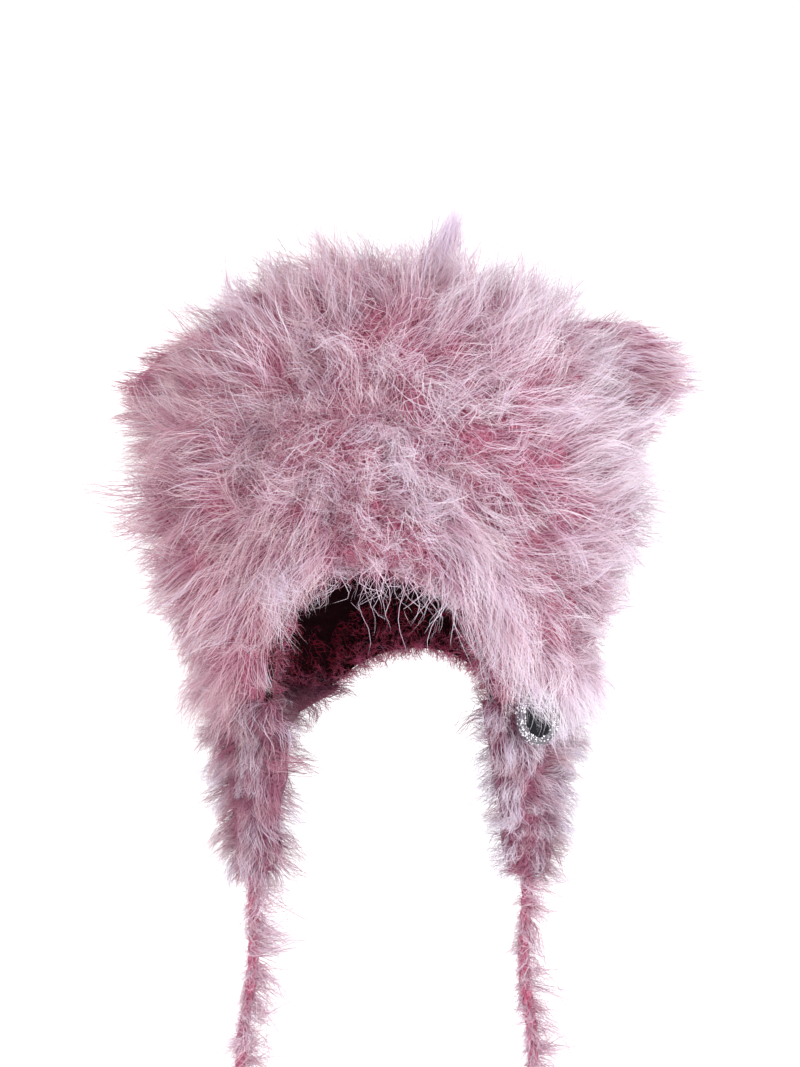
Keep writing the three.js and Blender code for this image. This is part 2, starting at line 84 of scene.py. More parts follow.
def hem_height(angle):
    """The height of the crown's lower edge: high over the face and the nape, low at the sides."""
    from_front = np.abs(np.arctan2(np.sin(angle), np.cos(angle)))
    from_back = math.pi - from_front
    face = clipped(from_front / FACE_ANGLE) ** FACE_ARCH
    nape = clipped(from_back / NAPE_ANGLE) ** NAPE_ARCH
    rise = (HEM_FACE - HEM_SIDE) * (1 - face) + (HEM_NAPE - HEM_SIDE) * (1 - nape)
    return HEM_SIDE + rise


def crown_surface(angle, drop):
    """The crown's outer face. Drop runs from 0 at the top through 1 at the widest level to 2 at the hem."""
    turn = clipped(drop) * math.pi / 2
    power = 2 / SQUARENESS
    dome = WIDEST + (crown_high.z - WIDEST) * np.cos(turn) ** power
    side = WIDEST + (hem_height(angle) - WIDEST) * (drop - 1)
    z = np.where(drop <= 1, dome, side)
    down = np.maximum(0, (WIDEST - z) / (WIDEST - HEM_SIDE))
    spread = np.where(drop <= 1, np.sin(turn) ** power, 1 - (1 - HEM_SPREAD) * down * down)
    depth = np.where(np.cos(angle) > 0, -crown_low.y, crown_high.y)
    return np.stack([crown_high.x * spread * np.sin(angle), -depth * spread * np.cos(angle), z], axis=-1)


def crown_point(angle, drop, distance):
    """A point at a distance outside the crown's outer face, or inside it where the distance is negative."""
    small = 1e-3
    held = np.clip(drop, 0.02, 2 - small)
    along = crown_surface(angle, held + small) - crown_surface(angle, held - small)
    around = crown_surface(angle + small, held) - crown_surface(angle - small, held)
    return crown_surface(angle, drop) + unit(np.cross(along, around)) * np.expand_dims(distance, -1)


def add_piece(name, mesh, material):
    """A piece of the hat that rides on its one body."""
    piece = bpy.data.objects.new(name, mesh)
    bpy.context.scene.collection.objects.link(piece)
    mesh.materials.append(material)
    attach(piece, "root")
    return piece


def smooth_mesh(name, corners, faces):
    """A mesh with smooth shading."""
    mesh = bpy.data.meshes.new(name)
    mesh.from_pydata(corners, [], faces)
    mesh.polygons.foreach_set("use_smooth", np.ones(len(faces), bool))
    return mesh


def node_group(name, inputs, outputs):
    """An empty shader node group with named sockets, and its input and output nodes."""
    group = bpy.data.node_groups.new(name, "ShaderNodeTree")
    for socket, kind, value in inputs:
        made = group.interface.new_socket(socket, in_out="INPUT", socket_type=kind)
        made.default_value = value
    for socket, kind in outputs:
        group.interface.new_socket(socket, in_out="OUTPUT", socket_type=kind)
    return group, group.nodes.new("NodeGroupInput"), group.nodes.new("NodeGroupOutput")


def new_material(name):
    """A material with its Principled node and its links."""
    material = bpy.data.materials.new(name)
    material.use_nodes = True
    return material, material.node_tree.nodes, material.node_tree.links


def set_inputs(node, values):
    """Sets the inputs of a node by their names."""
    for name, value in values.items():
        node.inputs[name].default_value = value


def stretched(group, value, low, high, top=1.0):
    """The value of a socket, with the part from low to high spread over 0 to top."""
    node = group.nodes.new("ShaderNodeMapRange")
    set_inputs(node, {"From Min": low, "From Max": high, "To Max": top})
    group.links.new(value, node.inputs["Value"])
    return node.outputs["Result"]


def mixed(group, factor, first, second, blend="MIX"):
    """Two colour sockets mixed by the factor's socket, or fully where it is None."""
    node = group.nodes.new("ShaderNodeMix")
    node.data_type = "RGBA"
    node.blend_type = blend
    if factor is None:
        set_inputs(node, {"Factor": 1.0})
    else:
        group.links.new(factor, node.inputs["Factor"])
    group.links.new(first, node.inputs["A"])
    group.links.new(second, node.inputs["B"])
    return node.outputs["Result"]


# Brushed yarn: fine fibres over a deep core, as a colour and a height.
yarn_group, yarn_in, yarn_out = node_group(
    "brushed_yarn",
    [
        ("Deep", "NodeSocketColor", SHADED_INSIDE_DEEP),
        ("Light", "NodeSocketColor", SHADED_INSIDE_ROSE),
        ("Grain", "NodeSocketFloat", YARN_GRAIN),
    ],
    [("Color", "NodeSocketColor"), ("Height", "NodeSocketFloat")],
)
links = yarn_group.links
place = yarn_group.nodes.new("ShaderNodeTexCoord")
fibres = yarn_group.nodes.new("ShaderNodeTexNoise")
set_inputs(fibres, {"Detail": 5.0, "Distortion": 0.8})
links.new(place.outputs["Object"], fibres.inputs["Vector"])
links.new(yarn_in.outputs["Grain"], fibres.inputs["Scale"])
paleness = stretched(yarn_group, fibres.outputs["Fac"], 0.36, 0.64)
yarn_shade = mixed(yarn_group, paleness, yarn_in.outputs["Deep"], yarn_in.outputs["Light"])
links.new(yarn_shade, yarn_out.inputs["Color"])
links.new(fibres.outputs["Fac"], yarn_out.inputs["Height"])


def yarn_material(name, deep, light):
    """Brushed yarn in two shades."""
    material, nodes, links = new_material(name)
    brushed = nodes.new("ShaderNodeGroup")
    brushed.node_tree = yarn_group
    set_inputs(brushed, {"Deep": deep, "Light": light, "Grain": YARN_GRAIN})
    bump = nodes.new("ShaderNodeBump")
    set_inputs(bump, {"Strength": 0.7, "Distance": 0.6 * MM})
    surface = nodes["Principled BSDF"]
    set_inputs(surface, {"Roughness": 0.85, "Specular IOR Level": 0.2})
    links.new(brushed.outputs["Color"], surface.inputs["Base Color"])
    links.new(brushed.outputs["Height"], bump.inputs["Height"])
    links.new(bump.outputs["Normal"], surface.inputs["Normal"])
    return material


# The yarn of the wall, near-black as painted shade of the crown's inside.
shaded_inner_yarn = yarn_material("shaded_inner_yarn", SHADED_INSIDE_DEEP, SHADED_INSIDE_ROSE)


def knitted_crown():
    """The wall as one closed mesh: a plain outer face under the pile, and rows of purl stitches inside."""
    columns = STITCH_COLUMNS * STITCH_SAMPLES
    inner_rows = STITCH_ROWS * STITCH_SAMPLES
    angles = np.arange(columns) / columns * 2 * math.pi
    rings = []
    for row in range(1, WALL_ROWS + 1):
        drop = np.full(columns, 2 * row / WALL_ROWS)
        rings.append(crown_point(angles, drop, np.zeros(columns)))
    for row in range(inner_rows, 0, -1):
        drop = np.full(columns, 2 * row / inner_rows)
        across = angles * STITCH_COLUMNS
        up = row / STITCH_SAMPLES * 2 * math.pi + STITCH_WAVE * np.sin(across)
        ridge = STITCH_RAISED * (0.5 + 0.5 * np.cos(up)) * (0.75 + 0.25 * np.cos(across))
        rings.append(crown_point(angles, drop, -KNIT + STITCH_RAISED / 2 - ridge))
    corners = [(0, 0, crown_high.z)]
    corners += [tuple(point) for ring in rings for point in ring]
    corners.append((0, 0, crown_high.z - KNIT))
    faces = []
    for k in range(columns):
        after = (k + 1) % columns
        faces.append((0, 1 + k, 1 + after))
        for ring in range(len(rings) - 1):
            here = 1 + ring * columns
            faces.append((here + k, here + columns + k, here + columns + after, here + after))
        last = 1 + (len(rings) - 1) * columns
        faces.append((last + k, len(corners) - 1, last + after))
    return smooth_mesh("crown_knit", corners, faces)


crown_knit = add_piece("crown_knit", knitted_crown(), shaded_inner_yarn)
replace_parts(crown_knit, "crown")

# The walls of the ears and the flaps.
# Knitted in the same yarn: two small cupped pockets at the sides of the crown, and two flaps that go on
# from its hem and narrow down to the ties. The wool hides them.
SIDES = {"left": 1, "right": -1}
rose_yarn = yarn_material("rose_yarn", (0.16, 0.02, 0.05, 1), (0.42, 0.12, 0.20, 1))


def dress(node, material):
    """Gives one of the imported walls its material."""
    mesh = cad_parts[node].data
    mesh.materials.clear()
    mesh.materials.append(material)


for side in SIDES:
    dress(f"ear_{side}", rose_yarn)
    dress(f"earflap_{side}", rose_yarn)

# The brushed wool next to the knit.
# The yarn is brushed until its fibres felt into a lumpy layer that hides the stitches. The long fibres
# stand in it, and it shows between them as soft rose gaps.
WOOL_COLUMNS = 200
WOOL_ROWS = 64
WOOL_SHARE = 0.45
WOOL_EDGE = 13 * MM
FLAP_WOOL = 3.6 * MM
EAR_WOOL = 2.4 * MM

# How far the pile reaches from the wall at each height, from the top down.
REACH_Z = np.array([5, -30, -65, -90, -120, -162, -221, -267]) * MM
REACH = np.array([39, 41, 42, 39, 31, 25, 19, 13]) * MM


def reach_at(z):
    """How far the pile reaches from the wall at a height."""
    return np.interp(-z, -REACH_Z, REACH)


def wander(points, size, seed):
    """A smooth direction field: near points get like vectors, about as long as 1."""
    waves_rng = np.random.default_rng(seed)
    waves = waves_rng.normal(size=(10, 3)) / size
    phases = waves_rng.random((10, 3)) * 2 * math.pi
    field = np.zeros_like(points)
    for wave, phase in zip(waves, phases):
        field += np.sin((points @ wave)[:, None] * 2 + phase)
    return field / math.sqrt(5)


def skin_from(corners, triangles):
    """A skin: its corners, its triangles and the smooth normals at its corners."""
    a, b, c = (corners[triangles[:, k]] for k in range(3))
    facing = np.cross(b - a, c - a)
    normals = np.zeros_like(corners)
    for k in range(3):
        np.add.at(normals, triangles[:, k], facing)
    return corners, triangles, unit(normals)


def skin_of(node):
    """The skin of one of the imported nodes."""
    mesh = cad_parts[node].data
    mesh.calc_loop_triangles()
    corners = np.empty(len(mesh.vertices) * 3)
    mesh.vertices.foreach_get("co", corners)
    triangles = np.empty(len(mesh.loop_triangles) * 3, int)
    mesh.loop_triangles.foreach_get("vertices", triangles)
    corners, same = np.unique(np.round(corners.reshape(-1, 3), 6), axis=0, return_inverse=True)
    return skin_from(corners, same.reshape(-1)[triangles].reshape(-1, 3))


def wool_over_crown():
    """The wool's face from the top down to the hem, where it is drawn in to the wall."""
    angles = np.arange(WOOL_COLUMNS) / WOOL_COLUMNS * 2 * math.pi
    rings = []
    for row in range(1, WOOL_ROWS + 1):
        drop = np.full(WOOL_COLUMNS, 2 * row / WOOL_ROWS)
        wall = crown_surface(angles, drop)
        above = clipped((wall[:, 2] - hem_height(angles)) / WOOL_EDGE)
        rim = np.sqrt(1 - (1 - above) ** 2)
        lumps = 1 + 0.20 * wander(wall, 20 * MM, 1)[:, 0] + 0.12 * wander(wall, 8 * MM, 2)[:, 1]
        rings.append(crown_point(angles, drop, WOOL_SHARE * reach_at(wall[:, 2]) * rim * lumps))
    top = np.array([[0, 0, crown_high.z + WOOL_SHARE * REACH[0]]])
    corners = np.concatenate([top] + rings)
    k = np.arange(WOOL_COLUMNS)
    after = (k + 1) % WOOL_COLUMNS
    triangles = [np.stack([np.zeros_like(k), 1 + k, 1 + after], axis=1)]
    for ring in range(WOOL_ROWS - 1):
        here = 1 + ring * WOOL_COLUMNS
        low = here + WOOL_COLUMNS
        triangles.append(np.stack([here + k, low + k, low + after], axis=1))
        triangles.append(np.stack([here + k, low + after, here + after], axis=1))
    return skin_from(corners, np.concatenate(triangles))


def padded(skin, thickness):
    """A skin moved outwards, with small lumps."""
    corners, triangles, normals = skin
    lumps = 1 + 0.3 * wander(corners, 10 * MM, 6)[:, :1]
    return skin_from(corners + normals * thickness * lumps, triangles)


rosy_wool = yarn_material("rosy_wool", (0.22, 0.05, 0.10, 1), (0.52, 0.25, 0.34, 1))
felted_wool = yarn_material("felted_wool", (0.13, 0.013, 0.036, 1), (0.46, 0.16, 0.24, 1))
mauve_wool = yarn_material("mauve_wool", (0.12, 0.015, 0.04, 1), (0.36, 0.15, 0.22, 1))
wool_shades = {"crown": felted_wool, "ear": rosy_wool, "earflap": mauve_wool}
wool = {"crown": wool_over_crown()}
for side in SIDES:
    wool[f"ear_{side}"] = padded(skin_of(f"ear_{side}"), EAR_WOOL)
    wool[f"earflap_{side}"] = padded(skin_of(f"earflap_{side}"), FLAP_WOOL)
for part, skin in wool.items():
    kind, *side = part.split("_")
    mesh = smooth_mesh(f"{part}_wool", skin[0].tolist(), skin[1].tolist())
    piece = add_piece(f"{part}_wool", mesh, wool_shades[kind])
    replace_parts(piece, "_".join([kind, "fur", *side]))

# The long pile of the crown.
# Coats of brushed fibre stand in the wool: a fine tangle that lies every way, longer pale wisps over it that
# run to soft points, combed outwards from the middle of the forehead, and curls there.
RIBBON_TWIST = 0.5
ROUND_SHADING = 1.8
TANGLE_POINT = np.array([-4.0, -115.0, -72.0]) * MM
TANGLE_REACH = 64 * MM

# How far the longest fibres may stand out, each way from the origin.
FURTHEST = [
    # way, mm
    ((1, 0, 0), 163),
    ((-1, 0, 0), 160),
    ((0, 1, 0), 156),
    ((0, 0, 1), 65),
]

# The way the pile lies on the front: the place, and its run to the wearer's left and upwards there.
LIE = np.array([
    # x, z, across, up
    (-118, -48, -1.0, 0.05),
    (-123, -98, -1.0, -0.12),
    (-88, -3, -1.0, 0.45),
    (-48, 32, -0.6, 0.8),
    (-8, 37, -0.25, 1.0),
    (-18, -3, -0.45, 0.9),
    (-48, -28, -1.0, 0.5),
    (-68, -63, -1.0, 0.2),
    (-48, -88, -0.9, -0.1),
    (-98, -123, -1.0, -0.25),
    (-73, -148, -0.6, -0.9),
    (-53, -138, -0.35, -1.0),
    (-38, -118, -0.35, -0.9),
    (-3, -118, 0.0, -0.8),
    (25, 32, 0.05, 1.0),
    (47, 18, 0.3, 1.0),
    (67, -3, 0.3, 1.0),
    (102, -13, 0.8, 0.7),
    (82, -48, 0.8, 0.6),
    (122, -73, 1.0, 0.25),
    (102, -88, 0.9, 0.4),
    (112, -118, 1.0, 0.0),
    (72, -103, 0.9, -0.1),
    (47, -78, 0.6, -0.3),
    (27, -128, 0.25, -1.0),
    (42, -148, 0.2, -1.0),
    (67, -138, 0.5, -0.8),
    (97, -158, 0.8, -0.6),
    (17, -48, 0.1, 0.5),
])


def sow(skin, count, chosen, rng):
    """Roots spread over the triangles of a skin, by area and by the share that chosen(middle, normal)
    gives."""
    corners, triangles, normals = skin
    a, b, c = (corners[triangles[:, k]] for k in range(3))
    facing = np.cross(b - a, c - a)
    area = np.linalg.norm(facing, axis=1) / 2
    weight = area * chosen((a + b + c) / 3, unit(facing))
    picked = rng.choice(len(triangles), count, p=weight / weight.sum())
    u, v = rng.random((2, count, 1))
    over = u + v > 1
    u, v = np.where(over, 1 - u, u), np.where(over, 1 - v, v)
    share = (1 - u - v, u, v)
    points = sum(s * corners[triangles[picked, k]] for k, s in enumerate(share))
    out = sum(s * normals[triangles[picked, k]] for k, s in enumerate(share))
    return points, unit(out)


def gather(points, count, rng):
    """The wisp that each root belongs to: the nearest of a number of roots chosen by chance."""
    leaders = rng.choice(len(points), count, replace=False)
    tree = KDTree(count)
    for index, leader in enumerate(leaders):
        tree.insert(points[leader], index)
    tree.balance()
    found = [tree.find(point) for point in points]
    return leaders, np.array([hit[1] for hit in found]), np.array([hit[2] for hit in found])


# The habits of a coat of fibres, which each coat changes as it needs.
COAT = {
    "steps": 5,  # pieces of each curve
    "wisps": 400,  # number of wisps
    "vary": 0.36,  # spread of the wisps' lengths
    "stray": 0.3,  # a wisp's own direction
    "loose": 0.15,  # a fibre's own direction
    "lean": (0.5, 1.3),  # the tilt from the skin's normal, at the root and at the tip
    "clings": 0.0,  # 1 where the fibres keep to the skin
    "curl": 0.0,  # a curve that all have, to the left of their run
    "bend": 0.8,  # a curve of each wisp's own
    "sway": 0.3,  # a wave of each wisp's own
    "droop": 0.1,  # sag under their weight
    "frizz": 1.0 * MM,  # a fine wave of each fibre's own
    "turns": 1.0,  # its number of turns
    "own": 1.0,  # 0 where the fibres of a wisp share that wave
    "pull": 0.7,  # how far the fibres of a wisp come together
}


def grow(points, out, flow, length, style, rng, chaos=0.0):
    """The curves of a coat of fibres, as points by fibre and step, and the wisp of each fibre.
    A fibre leaves the skin, leans over along flow, curves to one side, sags, and is drawn to its wisp's
    leader, with a frizz of its own. Chaos from 0 to 1 turns it every way."""
    style = {**COAT, **style}
    count = len(points)
    steps = style["steps"]
    chaos = np.broadcast_to(chaos, count)
    leaders, wisp, apart = gather(points, style["wisps"], rng)
    many = len(leaders)
    stray = rng.normal(size=(many, 3))[wisp] * style["stray"] + rng.normal(size=(count, 3)) * style["loose"]
    flow = flow + stray * (1 + 1.5 * chaos)[:, None]
    flow = unit(flow - out * (style["clings"] * np.sum(flow * out, axis=1))[:, None])
    sideways = np.cross(out, flow)
    bend = (rng.normal(size=many)[wisp] + 0.2 * rng.normal(size=count)) * style["bend"] * (1 + chaos)
    bend += style["curl"]
    wave = rng.random(many)[wisp] * 2 * math.pi
    lean = rng.normal(size=many)[wisp] * 0.16 + rng.normal(size=count) * 0.07 - 0.25 * chaos
    length = length * (1 + style["vary"] * (rng.random(many) - 0.5))[wisp]
    length = length * (0.76 + 0.30 * rng.random(count))
    length = length * (1.1 - 0.25 * clipped(apart / (2 * apart.mean())))
    place = points
    path = [points]
    for step in range(steps):
        t = (step + 0.5) / steps
        tilt = style["lean"][0] + (style["lean"][1] - style["lean"][0]) * t + lean
        heading = out * np.cos(tilt)[:, None] + flow * np.sin(tilt)[:, None]
        heading = unit(heading + sideways * (bend * t + style["sway"] * np.sin(5 * t + wave))[:, None])
        heading[:, 2] -= style["droop"] * t
        place = place + unit(heading) * (length / steps)[:, None]
        path.append(place)
    paths = np.stack(path, axis=1)
    t = np.linspace(0, 1, steps + 1)[None, :, None]
    run = unit(paths[:, -1] - paths[:, 0])
    own, shared = style["own"], 1 - style["own"]
    twist = shared * rng.normal(size=(many, 3))[wisp] + own * rng.normal(size=(count, 3))
    across = unit(np.cross(run, twist))
    size = 0.3 + 1.2 * (shared * rng.random(many)[wisp] + own * rng.random(count))
    size = style["frizz"] * (size * (1 + chaos))[:, None, None] * np.minimum(1, 0.25 + t)
    for axis in (across, np.cross(run, across)):
        phase = ((rng.random(many)[wisp] + own * rng.random(count)) * 2 * math.pi)[:, None, None]
        rate = 0.6 + 0.8 * (shared * rng.random(many)[wisp] + own * rng.random(count))
        rate = (rate * style["turns"] * 2 * math.pi)[:, None, None]
        paths = paths + axis[:, None] * (np.sin(rate * t + phase) - np.sin(phase)) * size
    pull = np.clip(rng.normal(style["pull"], 0.16, count), 0, 0.97)[:, None, None]
    offset = (points - points[leaders[wisp]])[:, None]
    return paths - offset * pull * t**1.3, wisp


def held_in(paths, out, limit):
    """The same curves, pressed towards the skin where they stand further out of it than the limit."""
    away = np.sum((paths - paths[:, :1]) * out[:, None], axis=2)
    share = np.minimum(1, limit / np.maximum(away.max(axis=1), 1e-6))
    return paths - out[:, None] * (away * (1 - share[:, None]))[:, :, None]


def within_size(paths):
    """The same curves, drawn in where they would stand out too far."""
    for way, most in FURTHEST:
        room = most * MM - paths[:, 0] @ np.array(way)
        paths = held_in(paths, np.tile(way, (len(paths), 1)), room)
    return paths


def widths(count, least, more, rng, power=1):
    """The widths of a number of fibres, given in millimetres as the least and what chance adds."""
    return MM * (least + more * rng.random(count) ** power)


def ribbons(name, paths, width, out, tint, material):
    """One mesh of narrow tapering ribbons, shaded as the round coat that they make up. The UV chart holds
    the tint across and the run from root to tip."""
    count, points = paths.shape[:2]
    steps = points - 1
    facing = unit(out + RIBBON_TWIST * np.random.default_rng(count).normal(size=out.shape))
    along = unit(np.gradient(paths, axis=1))
    side = unit(np.cross(along, facing[:, None]))
    run = np.linspace(0, 1, points)
    half = width[:, None, None] / 2 * (1 - 0.75 * run[None, :, None] ** 1.5)
    left = (paths - side * half)[:, :-1]
    right = (paths + side * half)[:, :-1]
    corners = np.concatenate([left, right, paths[:, -1:]], axis=1)
    per = 2 * steps + 1
    k = np.arange(steps - 1)
    quads = np.stack([k, k + steps, k + steps + 1, k + 1], axis=1).reshape(-1)
    pattern = np.concatenate([quads, [steps - 1, 2 * steps - 1, 2 * steps]])
    loops = (np.arange(count)[:, None] * per + pattern[None]).reshape(-1)
    starts = (np.arange(count)[:, None] * len(pattern) + 4 * np.arange(steps)[None]).reshape(-1)
    mesh = bpy.data.meshes.new(name)
    mesh.vertices.add(count * per)
    mesh.vertices.foreach_set("co", corners.reshape(-1))
    mesh.loops.add(len(loops))
    mesh.loops.foreach_set("vertex_index", loops)
    mesh.polygons.add(len(starts))
    mesh.polygons.foreach_set("loop_start", starts)
    mesh.polygons.foreach_set("use_smooth", np.ones(len(starts), bool))
    run = np.concatenate([run[:-1], run[:-1], [1.0]])
    across = np.concatenate([np.full(steps, -0.004), np.full(steps, 0.004), [0.0]])
    chart = np.empty((count, per, 2))
    chart[:, :, 0] = 0.01 + 0.98 * clipped(tint)[:, None] + across[None]
    chart[:, :, 1] = 0.01 + 0.98 * run[None]
    layer = mesh.uv_layers.new(name="OFBake")
    layer.data.foreach_set("uv", chart.reshape(-1, 2)[loops].reshape(-1))
    mesh.update(calc_edges=True)
    shaded = unit(np.cross(side, along) + ROUND_SHADING * out[:, None])
    shaded = np.concatenate([shaded[:, :-1], shaded[:, :-1], shaded[:, -1:]], axis=1)
    mesh.normals_split_custom_set_from_vertices(shaded.reshape(-1, 3))
    return add_piece(name, mesh, material)


# The colour of a fibre: deep at its root and pale at its tip, in one of the shades that the tint picks.
# The deep root is partly the yarn's own colour and partly painted shade, the warm shade deep in the pile.
pile_group, pile_in, pile_out = node_group(
    "pile_colour",
    [
        ("Root", "NodeSocketColor", (0.48, 0.15, 0.25, 1)),
        ("Wash", "NodeSocketColor", (1, 1, 1, 1)),
    ],
    [("Color", "NodeSocketColor")],
)
links = pile_group.links
chart = pile_group.nodes.new("ShaderNodeUVMap")
chart.uv_map = "OFBake"
parts = pile_group.nodes.new("ShaderNodeSeparateXYZ")
links.new(chart.outputs["UV"], parts.inputs[0])


def ramp(nodes, stops):
    """A colour ramp with its stops as (position, colour)."""
    made = nodes.new("ShaderNodeValToRGB")
    elements = made.color_ramp.elements
    while len(elements) < len(stops):
        elements.new(0.5)
    for element, (position, colour) in zip(elements, stops):
        element.position = position
        element.color = colour
    return made


shades = ramp(
    pile_group.nodes,
    [
        (0.0, (0.46, 0.13, 0.22, 1)),
        (0.2, (0.66, 0.40, 0.47, 1)),
        (0.4, (0.76, 0.585, 0.62, 1)),
        (0.55, (0.83, 0.71, 0.74, 1)),
        (0.68, (0.83, 0.74, 0.89, 1)),
        (0.82, (0.89, 0.81, 0.94, 1)),
        (1.0, (0.96, 0.91, 0.96, 1)),
    ],
)
# How far up a fibre the deep root colour reaches: partly the yarn's own core, partly painted warm shade deep
# in the pile.
depth = ramp(
    pile_group.nodes,
    [(0.0, (0, 0, 0, 1)), (0.3, (0.40, 0.40, 0.40, 1)), (0.78, (1, 1, 1, 1))],
)
links.new(parts.outputs["X"], shades.inputs["Fac"])
links.new(parts.outputs["Y"], depth.inputs["Fac"])
pale_root = stretched(pile_group, parts.outputs["X"], 0.78, 1.0, 0.4)
root_shade = mixed(pile_group, pale_root, pile_in.outputs["Root"], shades.outputs["Color"])
fibre_shade = mixed(pile_group, depth.outputs["Color"], root_shade, shades.outputs["Color"])
washed_shade = mixed(pile_group, None, fibre_shade, pile_in.outputs["Wash"], "MULTIPLY")
links.new(washed_shade, pile_out.inputs["Color"])


def pile_material(name, root, wash_colour, through_share=0.38):
    """Brushed fibre with a soft sheen, which lets some light through."""
    material, nodes, links = new_material(name)
    colour = nodes.new("ShaderNodeGroup")
    colour.node_tree = pile_group
    set_inputs(colour, {"Root": root, "Wash": wash_colour})
    surface = nodes["Principled BSDF"]
    set_inputs(surface, {"Roughness": 0.6, "Specular IOR Level": 0.3, "Sheen Weight": 0.2})
    links.new(colour.outputs["Color"], surface.inputs["Base Color"])
    through = nodes.new("ShaderNodeBsdfTranslucent")
    links.new(colour.outputs["Color"], through.inputs["Color"])
    both = nodes.new("ShaderNodeMixShader")
    set_inputs(both, {"Fac": through_share})
    links.new(surface.outputs["BSDF"], both.inputs[1])
    links.new(through.outputs["BSDF"], both.inputs[2])
    links.new(both.outputs["Shader"], nodes["Material Output"].inputs["Surface"])
    return material


pale_pile = pile_material("pale_pile", (0.50, 0.18, 0.29, 1), (1, 1, 1, 1))


def in_patches(middle, normal):
    """Thicker on the front than on the back, and with thin patches all over."""
    patch = np.clip(1 + 0.7 * wander(middle, 6 * MM, 8)[:, 0], 0.3, 2)
    return np.where(middle[:, 1] < 0, 1.2, 0.88) * patch


def in_tangle(middle, normal):
    """The middle of the front, where the pile is a tangle."""
    return clipped(1.3 - np.linalg.norm(middle - TANGLE_POINT, axis=1) / TANGLE_REACH)


def above_hem(points):
    """How far each point lies above the crown's hem."""
    return points[:, 2] - hem_height(np.arctan2(points[:, 0], -points[:, 1]))


def hill(apart, width):
    """1 where apart is 0, falling softly to 0 over the width."""
    return np.exp(-((apart / width) ** 2))


def on_shoulder(points):
    """How much the pile gives way above an ear: from 0 far off to 1.2 on the wearer's right, and a little
    below 0 on the left, where it is longer."""
    shoulder = np.array([82, -5, -12]) * MM
    mirrored = np.abs(points * [1, 0, 0]) + points * [0, 1, 1]
    near = clipped(1 - np.linalg.norm(mirrored - shoulder, axis=1) / (48 * MM))
    return near * np.where(points[:, 0] > 0, -0.1, 1.2)


def by_ear(points):
    """How near each point is to the front of the left ear, from 0 far off to 1."""
    across = clipped((points[:, 0] / MM - 66) / 22) * (points[:, 1] < 12 * MM)
    return across * hill(points[:, 2] / MM + 38, 15)


def at_side(points):
    """How near each point is to the widest part of a side of the crown, from 0 far off to 1."""
    across = clipped((np.abs(points[:, 0]) / MM - 75) / 30)
    widest = np.where(points[:, 0] > 0, -68, -58)
    return across * hill(points[:, 2] / MM - widest, 26)


def crown_flow(points, chaos):
    """The way the pile is combed: by the chart of its lie on the front, in whorls where it is a tangle, and
    down and outwards behind."""
    apart = np.sum((points[:, None, [0, 2]] - LIE[None, :, :2] * MM) ** 2, axis=2)
    weight = 1 / (apart + (9 * MM) ** 2) ** 2
    lie = weight @ LIE[:, 2:] / weight.sum(axis=1, keepdims=True)
    ahead = np.stack([lie[:, 0], np.full(len(points), 0.35), lie[:, 1]], axis=1)
    behind = unit(points - np.array([0, 0, 60 * MM]))
    back = clipped((points[:, 1:2] / MM + 20) / 60)
    lie = ahead * (1 - back) + behind * back
    return lie + 0.18 * wander(points, 45 * MM, 3) + 1.4 * chaos[:, None] * wander(points, 22 * MM, 4)


# Share is how much of the pile's reach a fibre has. Width is the least and what chance adds, in millimetres.
# Tint is the middle, then the spread by wisp and by fibre.
COATS = {
    "tangle": {
        "strands": 16000, "share": 0.52, "steps": 7, "wisps": 2400, "stray": 0.9, "loose": 0.6,
        "bend": 1.0, "lean": (0.45, 1.35), "frizz": 2.6 * MM, "turns": 1.6, "pull": 0.3,
        "width": (0.16, 0.22), "tint": (0.44, 0.26, 0.20),
    },
    "wisps": {
        "strands": 27000, "share": 0.92, "steps": 6, "wisps": 1000, "stray": 0.26, "loose": 0.08,
        "lean": (0.5, 1.25), "frizz": 1.2 * MM, "own": 0.35, "vary": 0.8, "pull": 0.88,
        "width": (0.16, 0.28), "tint": (0.64, 0.44, 0.15),
    },
    "curls": {
        "strands": 1600, "share": 0.8, "steps": 10, "wisps": 120, "stray": 0.8, "loose": 0.10,
        "bend": 1.2, "frizz": 2.2 * MM, "turns": 1.5, "own": 0.15, "vary": 0.6,
        "pull": 0.8, "width": (0.18, 0.24), "tint": (0.70, 0.50, 0.12),
    },
}

# What the pile loses of its length above the ears, by the left ear, over the brow and in the tangle, what
# it gains at each side, and how much of its length and of its stand it keeps behind.
SHOULDER_CUT, EAR_CUT, BROW_CUT, TANGLE_CUT = 0.5, 0.35, 0.72, 0.4
SIDE_GAIN = {"left": 0.34, "right": 0.28}
LENGTH_BEHIND, STAND_BEHIND = 0.86, 0.8

# The share of thick fibres, and how much paler the pile is at the wearer's left, behind and in them.
# The paleness at the wearer's left is partly the pile's own lilac and partly painted light
# from the side of the key light.
THICK_SHARE = 0.05
PALER_LEFT_TINT_AND_LIGHT, PALER_BEHIND, PALER_THICK = 0.24, 0.14, 0.25
QUARTERS = ("front_right", "front_left", "back_right", "back_left")

